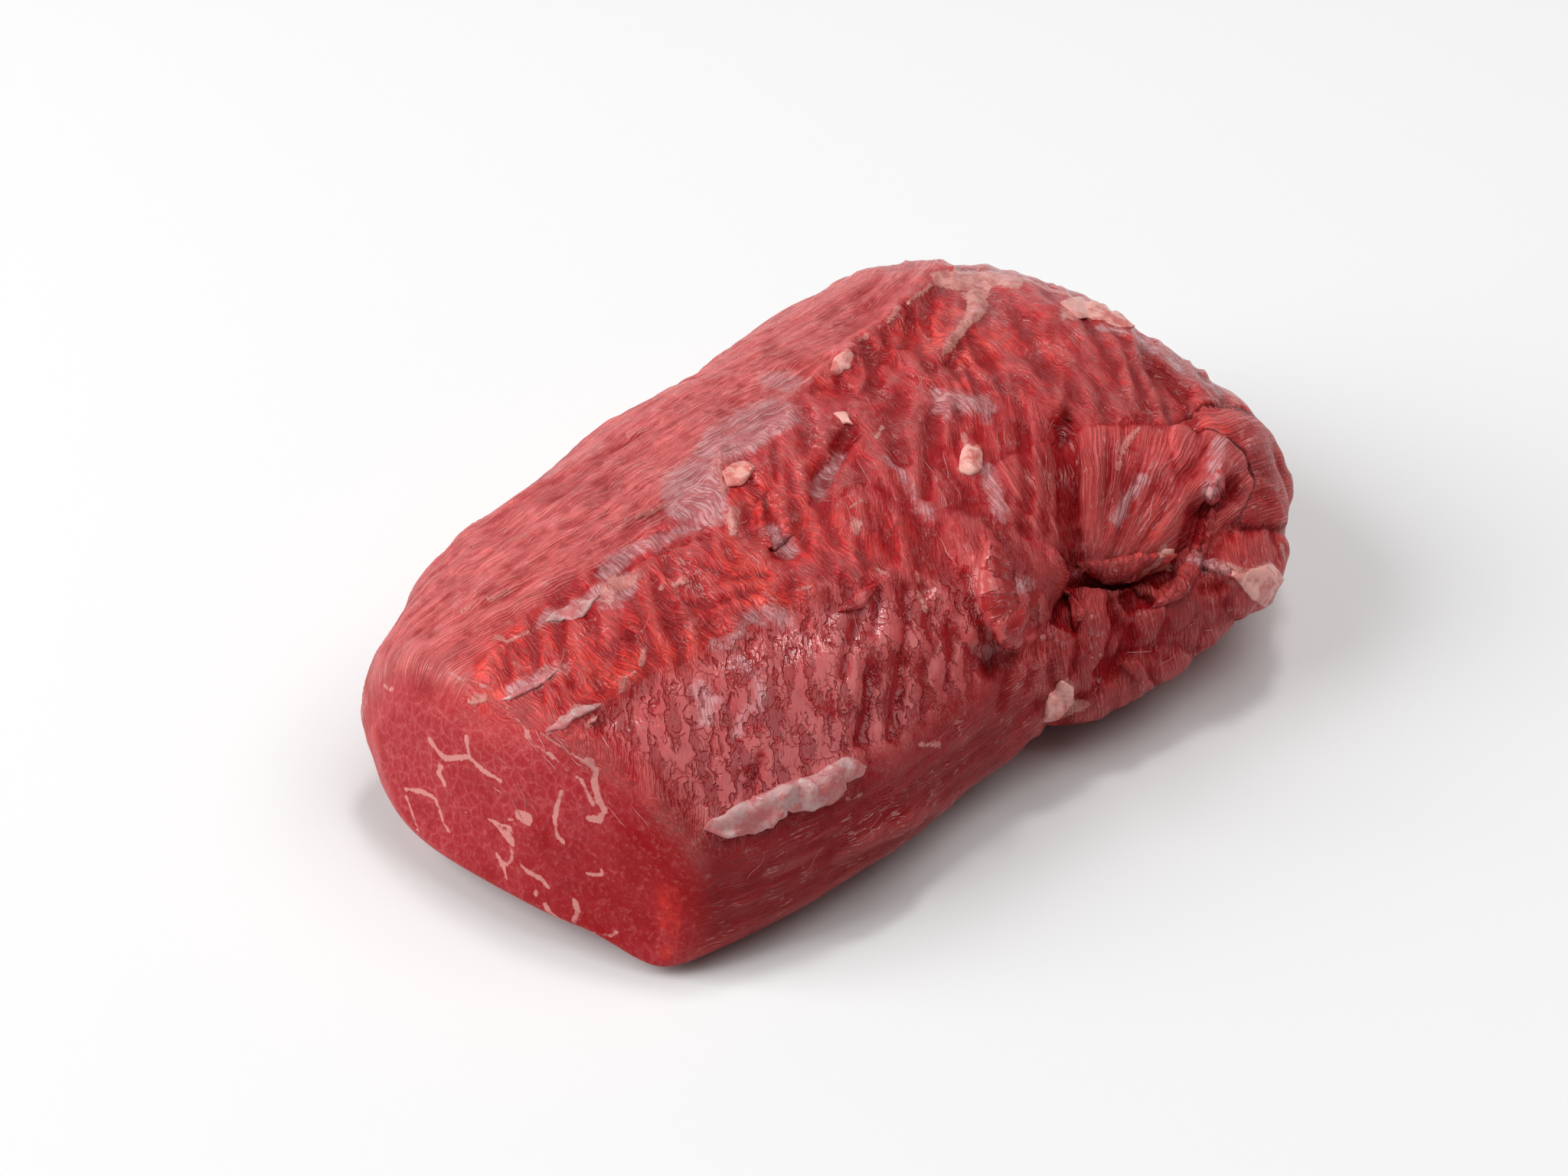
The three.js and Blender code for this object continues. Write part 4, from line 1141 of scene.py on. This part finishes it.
# Loose sheets and lumps on the skin: two edges in pixels of the photo, thickness in mm, lumps, curl in mm
silverSheets = [
    ([(918, 1083), (928, 1069), (944, 1068), (956, 1056), (986, 1038), (1016, 1026), (1038, 1018)],
     [(918, 1083), (945, 1092), (980, 1087), (1007, 1080), (1024, 1066), (1036, 1050),
     (1038, 1018)], 0.55, 0.3, 1.6),
    ([(1008, 1046), (1022, 1026), (1046, 1016), (1068, 1010), (1090, 1006), (1104, 1014)],
     [(1008, 1046), (1032, 1061), (1058, 1058), (1078, 1055), (1101, 1040), (1104, 1014)], 1.3, 1.0, 1.1),
    ([(1064, 1014), (1086, 999), (1107, 989), (1122, 995), (1131, 1001)],
     [(1064, 1014), (1088, 1022), (1102, 1025), (1120, 1016), (1131, 1001)], 1.2, 0.5, 0.7),
    ([(712, 812), (726, 799), (760, 788), (784, 777)],
     [(712, 812), (735, 813), (765, 802), (784, 777)], 0.5, 0.6, 0.0),
    ([(712, 957), (730, 940), (752, 924), (772, 919), (786, 921)],
     [(712, 957), (738, 951), (757, 938), (774, 931), (786, 921)], 0.55, 0.6, 0.1),
    ([(654, 915), (676, 902), (700, 888), (729, 875)],
     [(654, 915), (680, 913), (705, 900), (729, 875)], 0.5, 0.5, 0.0),
    ([(770, 946), (776, 936), (782, 932)], [(770, 946), (780, 946), (782, 932)], 0.8, 0.4, 0.0),
]
fatSheets = [
    ([(943, 617), (954, 607), (968, 605), (988, 611)],
     [(943, 617), (950, 637), (972, 632), (988, 611)], 1.1, 0.5, 0.5),
    ([(1254, 597), (1262, 582), (1279, 582), (1282, 600)],
     [(1254, 597), (1252, 614), (1266, 622), (1281, 619), (1282, 600)],
     1.0, 0.5, 0.0),
    ([(1088, 541), (1102, 540), (1116, 556)], [(1088, 541), (1100, 554), (1116, 556)], 0.5, 0.3, 0.2),
    ([(1084, 484), (1092, 467), (1107, 455), (1115, 464)],
     [(1084, 484), (1094, 493), (1110, 481), (1115, 464)], 0.6, 0.5, 0.0),
    ([(1384, 396), (1402, 388), (1442, 396), (1463, 411), (1483, 427)],
     [(1384, 396), (1410, 416), (1440, 420), (1458, 429), (1483, 427)], 0.4, 0.7, 0.0),
    ([(1480, 751), (1498, 738), (1518, 718), (1533, 716)],
     [(1480, 751), (1505, 752), (1526, 744), (1533, 716)], 0.8, 0.5, 0.2),
    ([(1598, 744), (1625, 750), (1662, 735), (1676, 757)],
     [(1598, 744), (1618, 763), (1634, 781), (1652, 792), (1676, 757)],
     1.0, 0.7, 0.0),
    ([(1361, 943), (1370, 912), (1386, 887), (1401, 897)],
     [(1361, 943), (1386, 936), (1402, 916), (1401, 897)], 0.9, 0.7, 0.0),
]
meatSheets = [
    ([(1291, 700), (1281, 735), (1279, 770), (1293, 808), (1319, 848)],
     [(1291, 700), (1305, 735), (1311, 775), (1327, 812), (1319, 848)], 4.2, 0.15, 1.6),
    ([(1596, 604), (1576, 638), (1561, 690), (1549, 735), (1528, 770), (1503, 798)],
     [(1596, 604), (1594, 650), (1583, 700), (1571, 742), (1548, 780), (1503, 798)], 2.6, 0.15, 0.3),
    ([(1404, 738), (1440, 732), (1485, 722), (1540, 722)],
     [(1404, 738), (1450, 759), (1487, 752), (1540, 722)], 2.0, 0.15, 1.2),
    ([(1462, 868), (1480, 860), (1506, 896)], [(1462, 868), (1476, 884), (1506, 896)], 1.8, 0.3, 0.4),
    ([(1556, 738), (1590, 730), (1622, 758)], [(1556, 738), (1588, 748), (1622, 758)], 1.3, 0.2, 0.3),
    ([(1094, 800), (1120, 770), (1150, 762)], [(1094, 800), (1128, 800), (1150, 762)], 1.2, 0.3, 0.3),
    ([(985, 662), (1000, 640), (1030, 652), (1036, 700)],
     [(985, 662), (990, 700), (1012, 722), (1036, 700)], 1.4, 0.3, 0.4),
    ([(1390, 770), (1402, 800), (1404, 826)], [(1390, 770), (1420, 800), (1404, 826)], 1.8, 0.3, 0.6),
]


def sheetShapes(sheets):  # thin lumpy sheets get a more ragged edge
    return [sheetRings(upper, lower, thick, lumpy, curl, 3.4 if lumpy > 0.25 else 1.2, 0.37 * index)
            for index, (upper, lower, thick, lumpy, curl) in enumerate(sheets)]


threads = {"count": 150, "length": (12, 44), "radius": (0.05, 0.11), "lift": 0.03}
# how the fine threads lie: picture box, share, direction in degrees up from the picture's right
threadBoxes = [
    ((500, 640, 900, 900), 0.16, 40), ((800, 450, 1130, 720), 0.16, 35), ((640, 880, 840, 1060), 0.14, -52),
    ((950, 560, 1250, 800), 0.18, -50), ((1100, 400, 1320, 620), 0.10, -70),
     ((1220, 560, 1420, 860), 0.10, 82),
    ((1420, 600, 1560, 760), 0.08, 60), ((1440, 780, 1620, 880), 0.04, 20),
     ((900, 1080, 1250, 1160), 0.04, 30),
]


def threadShapes():  # thin tubes wandering over the skin
    shapes = []
    for box, share, turn in threadBoxes:
        for _ in range(int(threads["count"] * share)):
            px, py = rng.uniform(box[0], box[2]), rng.uniform(box[1], box[3])
            length = rng.uniform(*threads["length"])
            radius = rng.uniform(*threads["radius"])
            bearing = math.radians(turn + rng.normal(0, 16)) + rng.normal(0, 0.7) * np.linspace(-1, 1, 9) ** 2
            step = np.stack([np.cos(bearing), -np.sin(bearing)], -1) * length / 8
            path = np.array([px, py]) + np.cumsum(step, 0)
            if np.hypot(pixelX - path[0, 0], pixelY - path[0, 1]).min() > 6:
                continue
            if np.hypot(pixelX - path[-1, 0], pixelY - path[-1, 1]).min() > 6:
                continue
            points, normals = onSkin(path[:, 0], path[:, 1])
            legs = np.linalg.norm(np.diff(points, axis=0), axis=1)
            if legs.max() > 4 or facing[anchor(px, py)] < 0.15:
                continue
            forward = unit(np.gradient(points, axis=0))
            across = unit(np.cross(forward, normals))
            taper = radius * np.sqrt(np.sin(np.linspace(0.15, np.pi - 0.15, 9)))
            turns = np.linspace(0, 2 * np.pi, 5, endpoint=False)
            ring = across[:, None] * np.cos(turns)[None, :, None] * 1.3
            ring = ring + normals[:, None] * np.sin(turns)[None, :, None]
            centre = points + normals * threads["lift"]
            shapes.append(centre[:, None] + ring * taper[:, None, None])
    return shapes


def nearestValues(points, values):  # the grid's values at the nearest grid points, in blocks
    flatGrid, flat = grid.reshape(-1, 3), values.reshape(rows * cols, -1)
    found = []
    for start in range(0, len(points), 200):
        block = points[start:start + 200]
        low, high = block.min(0) - 6, block.max(0) + 6
        near = np.flatnonzero(((flatGrid > low) & (flatGrid < high)).all(1))
        away = ((block[:, None] - flatGrid[near][None]) ** 2).sum(-1)
        found.append(flat[near[away.argmin(1)]])
    return np.concatenate(found)


overlayLook = {
    "silver": {"pale": (0.50, 0.29, 0.28, 1), "rose": (0.47, 0.13, 0.13, 1), "stain": 0.44,
               "roughness": 0.34, "coat": 0.35},
    "fat": {"pale": (0.76, 0.37, 0.32, 1), "rose": (0.58, 0.14, 0.12, 1), "stain": 0.50,
            "roughness": 0.38, "coat": 0.4},
    "thread": {"pale": (0.68, 0.27, 0.25, 1), "rose": (0.55, 0.12, 0.12, 1), "stain": 0.48,
               "roughness": 0.35, "coat": 0.5},
}


def makeOverlayMaterial(name, look):  # pale to rose by cloudy noise, with a finely uneven surface
    material, tree = newMaterial(name)
    place = add(tree, "ShaderNodeTexCoord").outputs["Object"]
    cloud = noiseAt(tree, place, 170.0, 4.0, 0.6)
    fine = noiseAt(tree, place, 650.0, 3.0, 0.6)
    stain = ramp(tree, timesPlus(tree, fine, 0.3, cloud), look["stain"] + 0.08, look["stain"] + 0.28)
    colour = blendColour(tree, stain, look["pale"], look["rose"])
    height = timesPlus(tree, fine, 0.18, times(tree, cloud, 0.6))
    bump = add(tree, "ShaderNodeBump", {"Strength": 1.0, "Distance": 0.001, "Height": height}).outputs[0]
    shader = add(tree, "ShaderNodeBsdfPrincipled", {
        "Base Color": colour, "Roughness": look["roughness"], "Specular IOR Level": 0.3, "Normal": bump,
        "Coat Weight": look["coat"], "Coat Roughness": 0.08, "Coat IOR": 1.4, "Coat Normal": bump,
        "Subsurface Weight": 0.2, "Subsurface Radius": (1.0, 0.4, 0.3), "Subsurface Scale": 0.002})
    endMaterial(tree, shader)
    return material


silverPiece = addMesh("silverskin", *joinRings(sheetShapes(silverSheets)))
silverPiece.data.materials.append(makeOverlayMaterial("silverskinFilm", overlayLook["silver"]))
fatPiece = addMesh("fatLumps", *joinRings(sheetShapes(fatSheets)))
fatPiece.data.materials.append(makeOverlayMaterial("beefFat", overlayLook["fat"]))
threadPiece = addMesh("fasciaThreads", *joinRings(threadShapes()))
threadPiece.data.materials.append(makeOverlayMaterial("fascia", overlayLook["thread"]))
foldPoints, foldFaces = joinRings(sheetShapes(meatSheets))
foldPiece = addMesh("meatFolds", foldPoints, foldFaces)
for name, values in meatAttributes.items():
    addVectors(foldPiece, name, nearestValues(foldPoints, values))
foldPiece.data.materials.append(meatMaterial)
print("stage: sheets, fat, threads and folds", len(silverPiece.data.polygons), len(threadPiece.data.polygons))


# Stage: floor, light and camera. The world is bright low down behind the meat and dim overhead.
stage = {"half": 6.0, "floor": (0.775, 0.775, 0.775, 1), "overhead": 0.13, "low": 0.95}
lamps = [
    {"name": "overhead", "direction": (0.24, -0.32, 0.92), "distance": 3.0, "size": (2.4, 2.4),
     "radiance": 2.35},
    {"name": "spark", "direction": (0.28, 0.14, 0.95), "distance": 3.0, "size": (0.5, 0.5),
     "radiance": 26.0},
    {"name": "leftKey", "direction": (-0.62, 0.55, 0.56), "distance": 3.2, "size": (2.6, 2.4),
     "radiance": 5.45},
]


def makeStage():  # a square sheet of pale paper at the height of the floor
    half = stage["half"]
    floorMesh = bpy.data.meshes.new("floor")
    corners = [(-half, -half, 0), (half, -half, 0), (half, half, 0), (-half, half, 0)]
    floorMesh.from_pydata(corners, [], [(0, 1, 2, 3)])
    floor = bpy.data.objects.new("floor", floorMesh)
    bpy.context.scene.collection.objects.link(floor)
    material, tree = newMaterial("palePaper")
    endMaterial(tree, add(tree, "ShaderNodeBsdfPrincipled", {
        "Base Color": stage["floor"], "Roughness": 0.9, "Specular IOR Level": 0.1}))
    floorMesh.materials.append(material)


def makeWorld():  # strength = overhead + low * towards the back * near the horizon
    world = bpy.data.worlds.new("studio")
    world.use_nodes = True
    tree = world.node_tree
    direction = add(tree, "ShaderNodeTexCoord").outputs["Generated"]
    split = add(tree, "ShaderNodeSeparateXYZ", {0: direction}).outputs
    nearHorizon = ramp(tree, split[2], 0.55, 0.10)
    backwards = ramp(tree, split[1], -0.1, 0.7)
    glowAmount = times(tree, nearHorizon, backwards)
    strength = timesPlus(tree, glowAmount, stage["low"] - stage["overhead"], stage["overhead"])
    background = tree.nodes["Background"]
    background.inputs["Color"].default_value = (1, 1, 1, 1)
    tree.links.new(strength, background.inputs["Strength"])
    bpy.context.scene.world = world


def makeLamps():  # power = radiance * pi * area, each lamp turned to the middle of the floor
    for lamp in lamps:
        light = bpy.data.lights.new(lamp["name"], "AREA")
        light.shape = "RECTANGLE"
        light.size, light.size_y = lamp["size"]
        light.energy = lamp["radiance"] * math.pi * lamp["size"][0] * lamp["size"][1]
        piece = bpy.data.objects.new(lamp["name"], light)
        bpy.context.scene.collection.objects.link(piece)
        direction = Vector(lamp["direction"]).normalized()
        piece.location = direction * lamp["distance"]
        piece.rotation_euler = direction.to_track_quat("Z", "Y").to_euler()


def makeCamera():  # looks back along camBack from camPlace
    camera = bpy.data.cameras.new("camera")
    camera.lens, camera.sensor_width = view["lens"], view["sensor"]
    piece = bpy.data.objects.new("camera", camera)
    bpy.context.scene.collection.objects.link(piece)
    piece.location = Vector(camPlace * mm)
    piece.rotation_euler = Vector(camBack).to_track_quat("Z", "Y").to_euler()
    bpy.context.scene.camera = piece


makeStage()
makeWorld()
makeLamps()
makeCamera()
bpy.context.scene.view_settings.view_transform = "Standard"
print("stage: floor, lights and camera")
